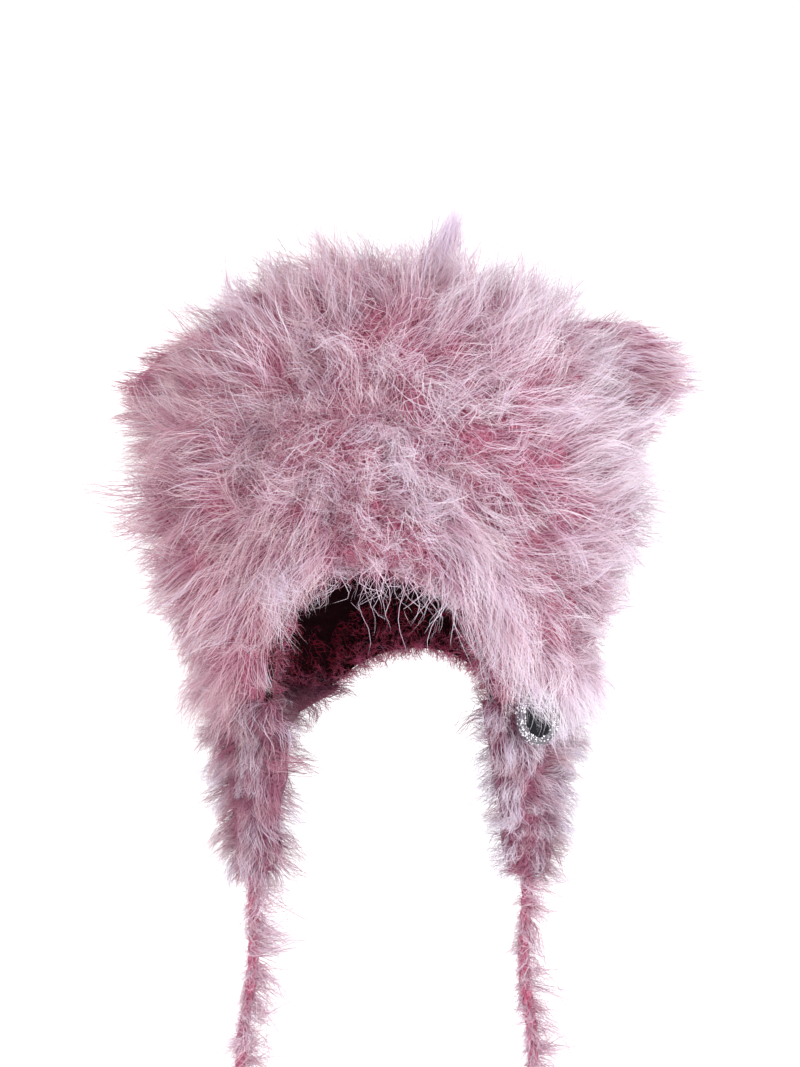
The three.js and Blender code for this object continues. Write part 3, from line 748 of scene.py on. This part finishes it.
rng = np.random.default_rng(7)
for coat, style in COATS.items():
    chosen = in_tangle if coat == "curls" else in_patches
    points, out = sow(wool["crown"], style["strands"], chosen, rng)
    wider = np.where(points[:, 0] > 0, SIDE_GAIN["left"], SIDE_GAIN["right"]) * at_side(points)
    reach = reach_at(points[:, 2]) * (1 - SHOULDER_CUT * on_shoulder(points)) * (1 + wider)
    reach *= 1 - EAR_CUT * by_ear(points)
    brow = clipped(-points[:, 1] / (60 * MM)) * hill(points[:, 0], 45 * MM)
    reach *= 1 - BROW_CUT * brow * clipped(1.2 - above_hem(points) / (24 * MM))
    chaos = clipped(1.15 - np.linalg.norm(points - TANGLE_POINT, axis=1) / TANGLE_REACH)
    own = unit(out + 0.2 * wander(points, 30 * MM, 5))
    length = reach * style["share"] * (1 - TANGLE_CUT * chaos)
    length *= np.where(points[:, 1] > 30 * MM, LENGTH_BEHIND, 1)
    clings = 0.9 - 0.6 * clipped((np.abs(points[:, 0]) / MM - 60) / 40)
    flow = crown_flow(points, chaos)
    paths, wisp = grow(points, own, flow, length, {**style, "clings": clings}, rng, chaos)
    limit = reach * (0.43 + 0.30 * rng.random(style["wisps"]))[wisp] * (1 + 0.35 * clipped(out[:, 2]))
    paths = within_size(held_in(paths, out, limit * np.where(points[:, 1] > 0, STAND_BEHIND, 1)))
    thick = rng.random(len(points)) < THICK_SHARE
    width = widths(len(points), *style["width"], rng, 2) * (1 + 0.5 * thick)
    middle, by_wisp, by_strand = style["tint"]
    tint = middle + by_wisp * (rng.random(style["wisps"]) - 0.5)[wisp]
    # Paler towards the wearer's left and deeper to the right: partly the pile's own lilac, partly painted
    # light from the key light's side.
    tint += by_strand * rng.normal(size=len(points)) + PALER_LEFT_TINT_AND_LIGHT * points[:, 0] / (90 * MM)
    tint += PALER_THICK * thick + PALER_BEHIND * clipped(points[:, 1] / (40 * MM))
    out[:, 2] = np.maximum(out[:, 2], -0.1)
    quarter = (points[:, 0] > 0).astype(int) + 2 * (points[:, 1] > 0)
    for index, name in enumerate(QUARTERS[: 2 if coat == "curls" else 4]):
        here = quarter == index
        made = (paths[here], width[here], out[here], tint[here])
        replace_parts(ribbons(f"crown_{coat}_{name}", *made, pale_pile), "crown_fur")

# The forelocks and the tuft at the top.
# Longer pale strands hang from the brow: curved locks over each side of the face opening, thin loose
# wisps and short curls across its top, and strands over the upper half of the badge. One tuft stands up
# on the top.
TALL_TUFT = (21 * MM, -14 * MM)
TUFT_HEIGHT = 42 * MM
# The tints run mostly paler on the wearer's left than on the right: partly the pile's own colour, partly
# painted light from the key light's side.
LOCKS = [
    # from x, to x, from and to mm above the hem, strands, wisps, length, across, curl, frizz, width, tint
    (26, 60, 4, 34, 400, 14, 52, 3.0, -1.7, 1.4, 0.25, 0.68),
    (26, 54, 2, 14, 50, 18, 32, 0.5, -0.9, 2.6, 0.34, 0.80),
    (-66, -12, 8, 44, 400, 26, 44, -2.0, 1.3, 1.4, 0.25, 0.52),
    (-50, -18, 1, 14, 230, 26, 32, -0.7, 0.5, 1.9, 0.24, 0.50),
    (46, 84, 14, 34, 400, 24, 38, 0.05, 0.0, 1.5, 0.26, 0.88),
    (50, 108, 1, 18, 760, 50, 27, 0.35, 0.0, 1.4, 0.26, 0.90),
    (-108, -42, 1, 16, 760, 54, 28, -0.35, 0.0, 1.4, 0.25, 0.34),
    (-52, -36, 4, 20, 130, 6, 34, 0.2, 0.7, 2.2, 0.28, 0.80),
]
LOOSE_WISPS = (-10, 34, 0, 8, 20, 14, 31, 0.1, 0.0, 4.2, 0.25, 0.88)
LOOSE_CURLS = (-26, 32, 0, 9, 74, 34, 17, 0.1, 0.6, 5.0, 0.22, 0.86)
# A lighter copy of the pile for the loose strands that hang in the shade of the face opening: its paler root
# is painted light, and it lets less light through.
lit_copy_pile = pile_material("lit_copy_pile", (0.60, 0.36, 0.46, 1), (1, 0.87, 0.92, 1), 0.1)


def brow_between(low_x, high_x, low, high):
    """A choice of the faces of the brow and the sides between two places across and two heights above the
    hem."""

    def chosen(middle, normal):
        above = above_hem(middle)
        across = (middle[:, 0] > low_x) & (middle[:, 0] < high_x)
        return (across & (above > low) & (above < high) & (middle[:, 1] < 55 * MM)).astype(float)

    return chosen


def hang_locks(name, row, pull, seed, material):
    """The strands of one row of the table, drawn together by pull."""
    low_x, high_x, low, high, strands, wisps, length, across, curl, frizz, width, tint = row
    style = {
        "steps": 7, "wisps": wisps, "vary": 0.5, "stray": 0.25, "loose": 0.10, "lean": (0.35, 1.45),
        "curl": curl, "bend": 0.6, "sway": 0.45, "droop": 0.5, "frizz": frizz * MM, "pull": pull,
    }
    chosen = brow_between(low_x * MM, high_x * MM, low * MM, high * MM)
    points, out = sow(wool["crown"], strands, chosen, rng)
    flow = np.tile([across, -0.12, -1.0], (strands, 1)) + 0.25 * wander(points, 20 * MM, seed)
    paths, wisp = grow(points, out, flow, np.full(strands, length * MM), style, rng)
    wide = width * MM * (0.6 + 0.8 * rng.random(strands))
    shade = tint + 0.34 * (rng.random(wisps) - 0.5)[wisp] + 0.12 * rng.normal(size=strands)
    facing = unit(out + np.array([0, -1.2, 0.4]))
    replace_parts(ribbons(name, paths, wide, facing, shade, material), "crown_fur")


def near_tuft(middle, normal):
    """1 on the wool round the foot of the tall tuft."""
    apart = np.hypot(middle[:, 0] - TALL_TUFT[0], middle[:, 1] - TALL_TUFT[1])
    return ((apart < 9 * MM) & (middle[:, 2] > 0)).astype(float)


for index, row in enumerate(LOCKS):
    hang_locks(f"forelocks_{index + 1}", row, 0.82, 31 + index, pale_pile)
hang_locks("loose_wisps", LOOSE_WISPS, 0.45, 51, lit_copy_pile)
hang_locks("loose_curls", LOOSE_CURLS, 0.45, 52, lit_copy_pile)

points, out = sow(wool["crown"], 420, near_tuft, rng)
style = {
    "steps": 6, "wisps": 1, "vary": 0.1, "lean": (0.0, 0.4), "bend": 0.2, "frizz": 1.4 * MM, "pull": 0.82,
}
upwards = np.tile([0.0, 0.0, 1.0], (len(points), 1))
length = np.full(len(points), TUFT_HEIGHT)
paths = within_size(grow(points, upwards, upwards + [0.3, 0.0, 0.0], length, style, rng)[0])
width = widths(len(points), 0.18, 0.2, rng)
tint = 0.66 + 0.12 * rng.normal(size=len(points))
piece = ribbons("top_tuft", paths, width, unit(upwards + [0.0, -1.6, 0.0]), tint, pale_pile)
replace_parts(piece, "crown_fur")

# The fuzz of the hem and the inside.
# Short brushed fibres that soften the edge of the face opening and of the nape, and a deep rose fuzz that
# covers the inside near the hem.
HEM_STRANDS, INNER_STRANDS = 3600, 5200
HEM_COAT = {
    "steps": 4, "wisps": 500, "stray": 0.8, "loose": 0.5, "lean": (0.1, 1.0), "frizz": 1.6 * MM, "pull": 0.4,
}
INNER_COAT = {
    "steps": 3, "wisps": 700, "stray": 0.8, "loose": 0.5, "lean": (0.2, 1.2), "frizz": 1.6 * MM, "pull": 0.5,
}
hem_pile = pile_material("hem_pile", (0.34, 0.02, 0.07, 1), (0.88, 0.46, 0.60, 1))
inner_pile = pile_material("inner_pile", (0.44, 0.012, 0.06, 1), (1, 0.26, 0.46, 1), 0.2)


def spokes(points):
    """The level way out from the hat's axis to each point."""
    return unit(points * np.array([1, 1, 0]))


def rim_faces(middle, normal):
    """1 on the crown's lower edge."""
    sideways = np.abs(np.sum(spokes(middle) * normal, axis=1)) < 0.45
    return (sideways & (middle[:, 2] < WIDEST)).astype(float)


def inner_faces(middle, normal):
    """The inside of the crown, all of it near the hem and less further up."""
    inwards = np.sum(spokes(middle) * normal, axis=1) < -0.5
    return inwards * clipped(1.1 - above_hem(middle) / (22 * MM))


crown_skin = skin_of("crown")
points, out = sow(crown_skin, HEM_STRANDS, rim_faces, rng)
flow = np.array([0, 0, -0.6]) + 0.3 * spokes(points) + 0.5 * wander(points, 15 * MM, 41)
length = MM * (7 + 6 * rng.random(len(points)))
paths = grow(points, out, flow, length, HEM_COAT, rng)[0]
width = widths(len(points), 0.22, 0.2, rng)
tint = 0.40 + 0.3 * rng.normal(size=len(points))
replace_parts(ribbons("hem_fuzz", paths, width, out, tint, hem_pile), "crown_fur")

points, out = sow(crown_skin, INNER_STRANDS, inner_faces, rng)
flow = np.array([0, 0, -0.7]) + 0.8 * wander(points, 15 * MM, 42)
length = MM * (7 + 5 * rng.random(len(points)))
paths = grow(points, out, flow, length, INNER_COAT, rng)[0]
width = widths(len(points), 0.25, 0.2, rng)
# Bright crimson near the hem and deeper higher up inside: painted shade of the crown's inside.
tint = 0.92 - 1.2 * clipped(above_hem(points) / (24 * MM)) + 0.15 * rng.normal(size=len(points))
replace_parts(ribbons("inner_fuzz", paths, width, out, tint, inner_pile), "crown_fur")

# The pile of the ears and the flaps.
# The same fibres, shorter. On an ear they point sideways, with a deep rose hollow at its front. On a flap
# they hang down and outwards on both sides of a deep rose line.
EAR_STRANDS, FLAP_STRANDS = 3800, 8400
# The side term makes the ear and flap on the wearer's left paler and those on the right deeper: partly their
# own colour, partly painted light from the key light's side.
EAR_TINT, FLAP_TINT, TINT_AND_LIGHT_BY_SIDE = 0.44, 0.56, 0.16
EAR_COAT = {
    "steps": 4, "wisps": 170, "vary": 0.5, "stray": 0.18, "loose": 0.09, "bend": 0.4, "sway": 0.15,
    "lean": (0.75, 1.25), "droop": 0.05, "frizz": 0.8 * MM, "turns": 0.8, "pull": 0.75,
}
EAR_PILE = 22.5 * MM
EAR_RISE = {"left": 0.16, "right": 0.10}
EAR_TOP_CUT = {"left": 0.35, "right": 0.25}
EAR_HOLLOWS = {"left": (111 * MM, -45 * MM), "right": (-119 * MM, -22 * MM)}
HOLLOW_RADIUS = 10 * MM
BADGE_PLACE = np.array([75, -66, -191]) * MM
BADGE_ROOM = 13 * MM
FLAP_COAT = {
    "wisps": 240, "vary": 0.9, "stray": 0.40, "loose": 0.18, "sway": 0.5,
    "lean": (0.4, 1.3), "droop": 0.3, "frizz": 1.5 * MM, "pull": 0.8,
}
FLAP_LINE_Z = np.array([-190, -267]) * MM
FLAP_LINE_X = np.array([71, 67]) * MM
FLAP_LINE_WIDTH = 2.3 * MM
FLAP_HALF_WIDTH = 16 * MM
FLAP_CORNER_Z = -260 * MM
FLAP_REACH = {"left": 0.74, "right": 0.97}
flap_pile = pile_material("flap_pile", (0.34, 0.10, 0.18, 1), (0.93, 0.93, 0.95, 1))


def beyond_crown(middle, normal):
    """The part of an ear that stands out of the crown's wool, thicker on its front."""
    return (np.abs(middle[:, 0]) > 92 * MM) * (1 + 1.2 * clipped(-normal[:, 1]))


def towards_front(middle, normal):
    """Thicker on the faces that look to the front, and thin under the badge."""
    under_badge = np.linalg.norm(middle - BADGE_PLACE, axis=1) < BADGE_ROOM
    return (1 + 1.8 * clipped(-normal[:, 1])) * np.where(under_badge, 0.06, 1)


for side, sign in SIDES.items():
    points, out = sow(wool[f"ear_{side}"], EAR_STRANDS, beyond_crown, rng)
    flow = np.array([sign * 1.0, 0.0, EAR_RISE[side]]) + 0.25 * wander(points, 30 * MM, 11)
    hollow_x, hollow_z = EAR_HOLLOWS[side]
    from_hollow = np.hypot(points[:, 0] - hollow_x, points[:, 2] - hollow_z)
    hollow = (out[:, 1] < 0) * hill(from_hollow, HOLLOW_RADIUS)
    cut = EAR_TOP_CUT[side] * clipped(out[:, 2]) + 0.3 * clipped(-out[:, 2])
    length = EAR_PILE * (1 - 0.75 * hollow) * (1 - cut)
    own = unit(out * [1, 1, 0.6] + [sign * 0.4, 0, 0])
    paths, wisp = grow(points, own, flow, length, EAR_COAT, rng)
    paths = within_size(paths)
    width = widths(len(points), 0.22, 0.3, rng, 2)
    tint = EAR_TINT + TINT_AND_LIGHT_BY_SIDE * sign - hollow + 0.25 * (rng.random(EAR_COAT["wisps"]) - 0.5)[wisp]
    tint += 0.12 * rng.normal(size=len(points))
    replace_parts(ribbons(f"ear_pile_{side}", paths, width, out, tint, pale_pile), f"ear_fur_{side}")

    points, out = sow(wool[f"earflap_{side}"], FLAP_STRANDS, towards_front, rng)
    line_x = sign * np.interp(-points[:, 2], -FLAP_LINE_Z, FLAP_LINE_X)
    from_line = points[:, 0] - line_x
    outer = np.sum(points * out * np.array([1, 1, 0]), axis=1) > 0
    line = outer * hill(from_line, FLAP_LINE_WIDTH)
    flow = np.stack([from_line / FLAP_HALF_WIDTH, np.zeros(len(points)), np.full(len(points), -1.0)], axis=1)
    flow += 0.5 * wander(points, 25 * MM, 12)
    length = reach_at(points[:, 2]) * np.where(outer, FLAP_REACH[side], 0.85) * (1 - 0.45 * line)
    under_hem = (1 - outer) * clipped((points[:, 2] / MM + 212) / 20)
    length *= 1 - 0.3 * under_hem
    corner = hill(points[:, 2] - FLAP_CORNER_Z, 12 * MM) * clipped(np.abs(from_line) / FLAP_HALF_WIDTH)
    length *= 1 + 0.6 * corner
    paths, wisp = grow(points, out, flow, length, FLAP_COAT, rng)
    width = widths(len(points), 0.18, 0.26, rng, 2)
    tint = FLAP_TINT + TINT_AND_LIGHT_BY_SIDE * sign + 0.7 * (rng.random(FLAP_COAT["wisps"]) - 0.5)[wisp] - 0.6 * line
    tint += 0.12 * rng.normal(size=len(points)) - 0.5 * under_hem
    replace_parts(ribbons(f"flap_pile_{side}", paths, width, out, tint, flap_pile), f"earflap_fur_{side}")

# The ties.
# Limp cords of three plies of the same yarn, twisted, that hang from the ends of the flaps with a haze of
# loose fibres round them. Each row of a route is a point of the cord's centre line, in millimetres.
TIE_DIAMETER = 7 * MM
TIE_FIBRES = 2600
TIE_HAZE = 20 * MM
CORD_POINTS = 90
HAZE_POINTS = 300
PLIES = 3
PLY_RADIUS = 1.45 * MM
PLY_OFFSET = 1.5 * MM
PLY_PITCH = 19 * MM
ROUTES = {
    "left": [
        (67.6, -26.6, -267.4), (67.6, -26.7, -274), (67.4, -26.9, -281), (67.0, -27.2, -288),
        (66.5, -27.6, -295), (66.1, -28.0, -302), (65.9, -28.3, -309), (66.1, -28.4, -316),
        (66.7, -28.3, -323), (67.7, -28.0, -330), (68.8, -27.7, -337), (69.7, -27.5, -344),
        (70.2, -27.5, -351), (70.5, -27.6, -358), (70.8, -27.8, -364), (71.2, -28.0, -370),
    ],
    "right": [
        (-67.6, -26.6, -267.4), (-67.6, -26.6, -274), (-67.5, -26.7, -281), (-67.3, -26.9, -288),
        (-67.1, -27.2, -295), (-67.0, -27.4, -302), (-67.1, -27.5, -309), (-67.5, -27.5, -316),
        (-68.2, -27.4, -323), (-69.2, -27.2, -330), (-70.4, -27.1, -337), (-71.6, -27.1, -344),
        (-72.6, -27.3, -351), (-73.2, -27.6, -358), (-73.5, -27.9, -364), (-73.6, -28.2, -370),
    ],
}
TIE_COAT = {
    "wisps": 90, "vary": 1.0, "stray": 0.6, "loose": 0.3, "bend": 1.6, "sway": 0.7,
    "droop": 0.25, "frizz": 1.3 * MM, "turns": 1.2, "pull": 0.6,
}


def along_route(route, count):
    """Evenly spaced points on a route, its direction and two across it at each, and how far along it is."""
    route = np.array(route)
    gone = np.concatenate([[0], np.cumsum(np.linalg.norm(np.diff(route, axis=0), axis=1))])
    marks = np.linspace(0, gone[-1], count)
    line = np.stack([np.interp(marks, gone, route[:, k]) for k in range(3)], axis=1)
    run = unit(np.gradient(line, axis=0))
    across = unit(np.cross(run, np.array([0.0, 1.0, 0.0])))
    return line, run, across, np.cross(run, across), marks


def tube(line, radius, sides, first):
    """The corners and the faces of a round tube along a line, for corners numbered from first."""
    run = unit(np.gradient(line, axis=0))
    across = unit(np.cross(run[0], [0.3, 0.9, 0.2]))
    angles = np.arange(sides) / sides * 2 * math.pi
    corners = []
    for point, way in zip(line, run):
        across = unit(across - way * np.dot(across, way))
        other = np.cross(way, across)
        corners.append(point + radius * (np.cos(angles)[:, None] * across + np.sin(angles)[:, None] * other))
    faces = []
    for ring in range(len(line) - 1):
        here = first + ring * sides
        for k in range(sides):
            after = (k + 1) % sides
            faces.append((here + k, here + after, here + sides + after, here + sides + k))
    faces.append(tuple(first + k for k in reversed(range(sides))))
    faces.append(tuple(first + (len(line) - 1) * sides + k for k in range(sides)))
    return np.concatenate(corners).tolist(), faces


def tubes_mesh(name, lines, radius, sides):
    """One mesh of tubes along several lines."""
    corners, faces = [], []
    for line in lines:
        more_corners, more_faces = tube(line, radius, sides, len(corners))
        corners += more_corners
        faces += more_faces
    return smooth_mesh(name, corners, faces)


def plies_of(route):
    """The centre lines of the plies that are twisted round a route."""
    line, _, across, other, marks = along_route(route, CORD_POINTS)
    lines = []
    for ply in range(PLIES):
        turn = marks / PLY_PITCH * 2 * math.pi + ply / PLIES * 2 * math.pi
        lines.append(line + PLY_OFFSET * (across * np.cos(turn)[:, None] + other * np.sin(turn)[:, None]))
    return lines


def haze_round(name, line, run, across, other, count, start, reach, tint):
    """Loose fibres that stand out round a line from start, longer towards the wearer's left."""
    picked = rng.integers(0, len(line), count)
    turn = rng.random(count) * 2 * math.pi
    out = across[picked] * np.cos(turn)[:, None] + other[picked] * np.sin(turn)[:, None]
    points = line[picked] + out * start + run[picked] * 0.5 * MM
    flow = np.array([0.3, 0, -1.0]) + 0.5 * wander(points, 12 * MM, 21)
    length = reach * (0.4 + 0.9 * rng.random(count) ** 2) * (1 + 0.6 * out[:, 0])
    paths = grow(points, out, flow, length, TIE_COAT, rng)[0]
    width = widths(count, 0.17, 0.2, rng)
    return ribbons(name, paths, width, out, tint + 0.2 * rng.normal(size=count), pale_pile)


tie_yarn = yarn_material("tie_yarn", (0.28, 0.03, 0.08, 1), (0.60, 0.22, 0.33, 1))
haze, routes = {}, {}
for side in SIDES:
    routes[side] = [tuple(value * MM for value in point) for point in ROUTES[side]]
    ways = along_route(routes[side], HAZE_POINTS)[:4]
    haze[side] = haze_round(f"tie_haze_{side}", *ways, TIE_FIBRES, TIE_DIAMETER * 0.3, TIE_HAZE, 0.58)

# The tie ends.
# Each tie is knotted near its end, and below the knot its yarns are left loose as a small tuft.
KNOT_RADIUS = 4.4 * MM
KNOT_HEIGHT = 3.6 * MM
KNOT_YARN = 2.1 * MM
KNOT_DROP = 6.4 * MM
TUFT_YARNS = 9
TUFT_YARN = 1.25 * MM
TUFT_LENGTH = 25 * MM
TUFT_SPREAD = 5.2 * MM
TUFT_FIBRES = 800


def knot_line(middle):
    """A yarn that runs round twice and over itself three times."""
    turn = np.linspace(0, 2 * math.pi, 90)
    spoke = KNOT_RADIUS * (0.68 + 0.32 * np.cos(3 * turn))
    height = KNOT_HEIGHT * np.sin(3 * turn)
    return middle + np.stack([spoke * np.cos(2 * turn), spoke * np.sin(2 * turn), height], axis=1)


for side in SIDES:
    end = np.array(routes[side][-1])
    middle = end - np.array([0, 0, KNOT_DROP])
    knot_mesh = tubes_mesh(f"tie_knot_{side}", [knot_line(middle)], KNOT_YARN, 8)
    knot = add_piece(f"tie_knot_{side}", knot_mesh, tie_yarn)
    down = np.linspace(0, 1, 14)[:, None]
    lines = []
    for yarn in range(TUFT_YARNS):
        turn = (yarn + 0.5 * rng.random()) / TUFT_YARNS * 2 * math.pi
        spoke = np.array([math.cos(turn), math.sin(turn), 0])
        spread = TUFT_SPREAD * (0.35 + 0.65 * (yarn % 3) / 2)
        wave = 0.8 * MM * np.sin(down * 7 + 6 * rng.random()) * np.array([spoke[1], -spoke[0], 0])
        length = TUFT_LENGTH * (0.85 + 0.15 * rng.random())
        start = middle + 1.6 * MM * spoke - np.array([0, 0, 3 * MM])
        lines.append(start + spoke * spread * down**0.8 + wave * down - np.array([0, 0, length]) * down)
    tuft_mesh = tubes_mesh(f"tie_tuft_{side}", lines, TUFT_YARN, 6)
    tuft = add_piece(f"tie_tuft_{side}", tuft_mesh, tie_yarn)
    core = middle - np.array([0, 0, TUFT_LENGTH + 2 * MM]) * np.linspace(0, 1, 60)[:, None]
    straight = np.ones((60, 1))
    tuft_haze = haze_round(
        f"tuft_haze_{side}", core, straight * [0, 0, -1], straight * [1, 0, 0], straight * [0, 1, 0],
        TUFT_FIBRES, 3.4 * MM, 9 * MM, 0.56,
    )
    for piece in (knot, tuft, tuft_haze):
        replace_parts(piece, f"tie_end_{side}")

    mesh = tubes_mesh(f"tie_cord_{side}", plies_of(routes[side]), PLY_RADIUS, 8)
    tie = add_piece(f"tie_cord_{side}", mesh, tie_yarn)
    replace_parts(tie, f"tie_{side}")
    length = float(np.sum(np.linalg.norm(np.diff(np.array(routes[side]), axis=0), axis=1)))

# The badge.
# A small oval plate on the wearer's left flap: a raised rim covered with silver glitter round a field of
# black enamel. Its shank goes into the pile.
GLITTER_FLAKES = 1900
FLAKE_SIZE = 0.40 * MM


def hard_material(name, colour, metallic, roughness, specular=0.5):
    """A hard surface in one colour."""
    material, nodes = new_material(name)[:2]
    look = {"Base Color": colour, "Metallic": metallic, "Roughness": roughness}
    set_inputs(nodes["Principled BSDF"], {**look, "Specular IOR Level": specular})
    return material


glitter_bed = hard_material("glitter_bed", (0.16, 0.15, 0.17, 1), 0.8, 0.45)
silver_flake = hard_material("silver_flake", (0.80, 0.77, 0.82, 1), 1.0, 0.18)
black_enamel = hard_material("black_enamel", (0.008, 0.008, 0.011, 1), 0.0, 0.3, 0.12)
dress("badge_rim", glitter_bed)
dress("badge_field", black_enamel)


def everywhere(middle, normal):
    """1 on every face."""
    return np.ones(len(middle))


def glitter(skin, count):
    """Small six-sided flakes that lie loosely on a skin, as one mesh."""
    points, out = sow(skin, count, everywhere, rng)
    facing = unit(out + 0.5 * rng.normal(size=out.shape))
    across = unit(np.cross(facing, rng.normal(size=out.shape)))
    other = np.cross(facing, across)
    size = FLAKE_SIZE * (0.6 + 0.6 * rng.random(count))[:, None]
    ring = []
    for k in range(6):
        angle = k / 6 * 2 * math.pi
        ring.append(points + out * 0.15 * MM + size * (math.cos(angle) * across + math.sin(angle) * other))
    corners = np.stack(ring, axis=1).reshape(-1, 3)
    mesh = bpy.data.meshes.new("badge_glitter")
    mesh.from_pydata(corners.tolist(), [], [tuple(range(6 * k, 6 * k + 6)) for k in range(count)])
    return mesh


add_piece("badge_glitter", glitter(skin_of("badge_rim"), GLITTER_FLAKES), silver_flake)

# The stage, the lights and the camera.
# A pale floor below the ties, white surroundings, a large soft light from the wearer's left, a weaker one
# from the right, and the camera at the height of the hat's middle, 7 degrees round to the wearer's left.
FLOOR_REACH = 4.0
FLOOR_Z = -0.415
HAT_MIDDLE = Vector((0, 0, -0.1))
AZIMUTH = math.radians(7)
DISTANCE = 1.2
TARGET = Vector((0.002, 0, -0.10425))
FRAME_HEIGHT = 0.5335
SENSOR_HEIGHT = 36

floor_mesh = bpy.data.meshes.new("floor")
floor_ways = ((-1, -1), (1, -1), (1, 1), (-1, 1))
floor_corners = [(FLOOR_REACH * x, FLOOR_REACH * y, FLOOR_Z) for x, y in floor_ways]
floor_mesh.from_pydata(floor_corners, [], [(0, 1, 2, 3)])
floor = bpy.data.objects.new("floor", floor_mesh)
bpy.context.scene.collection.objects.link(floor)
pale_floor, nodes = new_material("pale_floor")[:2]
floor_look = {"Base Color": (0.9, 0.9, 0.9, 1), "Roughness": 0.9, "Emission Color": (1, 1, 1, 1)}
set_inputs(nodes["Principled BSDF"], {**floor_look, "Emission Strength": 0.35})
floor_mesh.materials.append(pale_floor)

world = bpy.data.worlds.new("studio")
bpy.context.scene.world = world
world.use_nodes = True
nodes, links = world.node_tree.nodes, world.node_tree.links
direction = nodes.new("ShaderNodeTexCoord")
heights = nodes.new("ShaderNodeSeparateXYZ")
sky = ramp(nodes, [(0.0, (1, 1, 1, 1)), (0.15, (1, 1, 1, 1)), (0.9, (0.6, 0.6, 0.61, 1))])
links.new(direction.outputs["Generated"], heights.inputs[0])
links.new(heights.outputs["Z"], sky.inputs["Fac"])
links.new(sky.outputs["Color"], nodes["Background"].inputs["Color"])
set_inputs(nodes["Background"], {"Strength": 1.35})


def soft_lamp(name, size, energy, location):
    """A round soft light that points at the middle of the hat."""
    lamp = bpy.data.lights.new(name, "AREA")
    lamp.shape = "DISK"
    lamp.size = size
    lamp.energy = energy
    lamp_object = bpy.data.objects.new(name, lamp)
    lamp_object.location = location
    ahead = HAT_MIDDLE - lamp_object.location
    lamp_object.rotation_euler = ahead.to_track_quat("-Z", "Y").to_euler()
    bpy.context.scene.collection.objects.link(lamp_object)


soft_lamp("key", 0.9, 13, (0.9, -1.0, 0.55))
soft_lamp("fill", 1.2, 5.2, (-1.3, -0.5, 0.2))

camera = bpy.data.cameras.new("camera")
camera.sensor_fit = "VERTICAL"
camera.sensor_height = SENSOR_HEIGHT
camera.lens = SENSOR_HEIGHT * DISTANCE / FRAME_HEIGHT
camera_object = bpy.data.objects.new("camera", camera)
camera_object.location = TARGET + DISTANCE * Vector((math.sin(AZIMUTH), -math.cos(AZIMUTH), 0))
camera_object.rotation_euler = (math.radians(90), 0, AZIMUTH)
bpy.context.scene.collection.objects.link(camera_object)
bpy.context.scene.camera = camera_object
bpy.context.scene.view_settings.view_transform = "Standard"
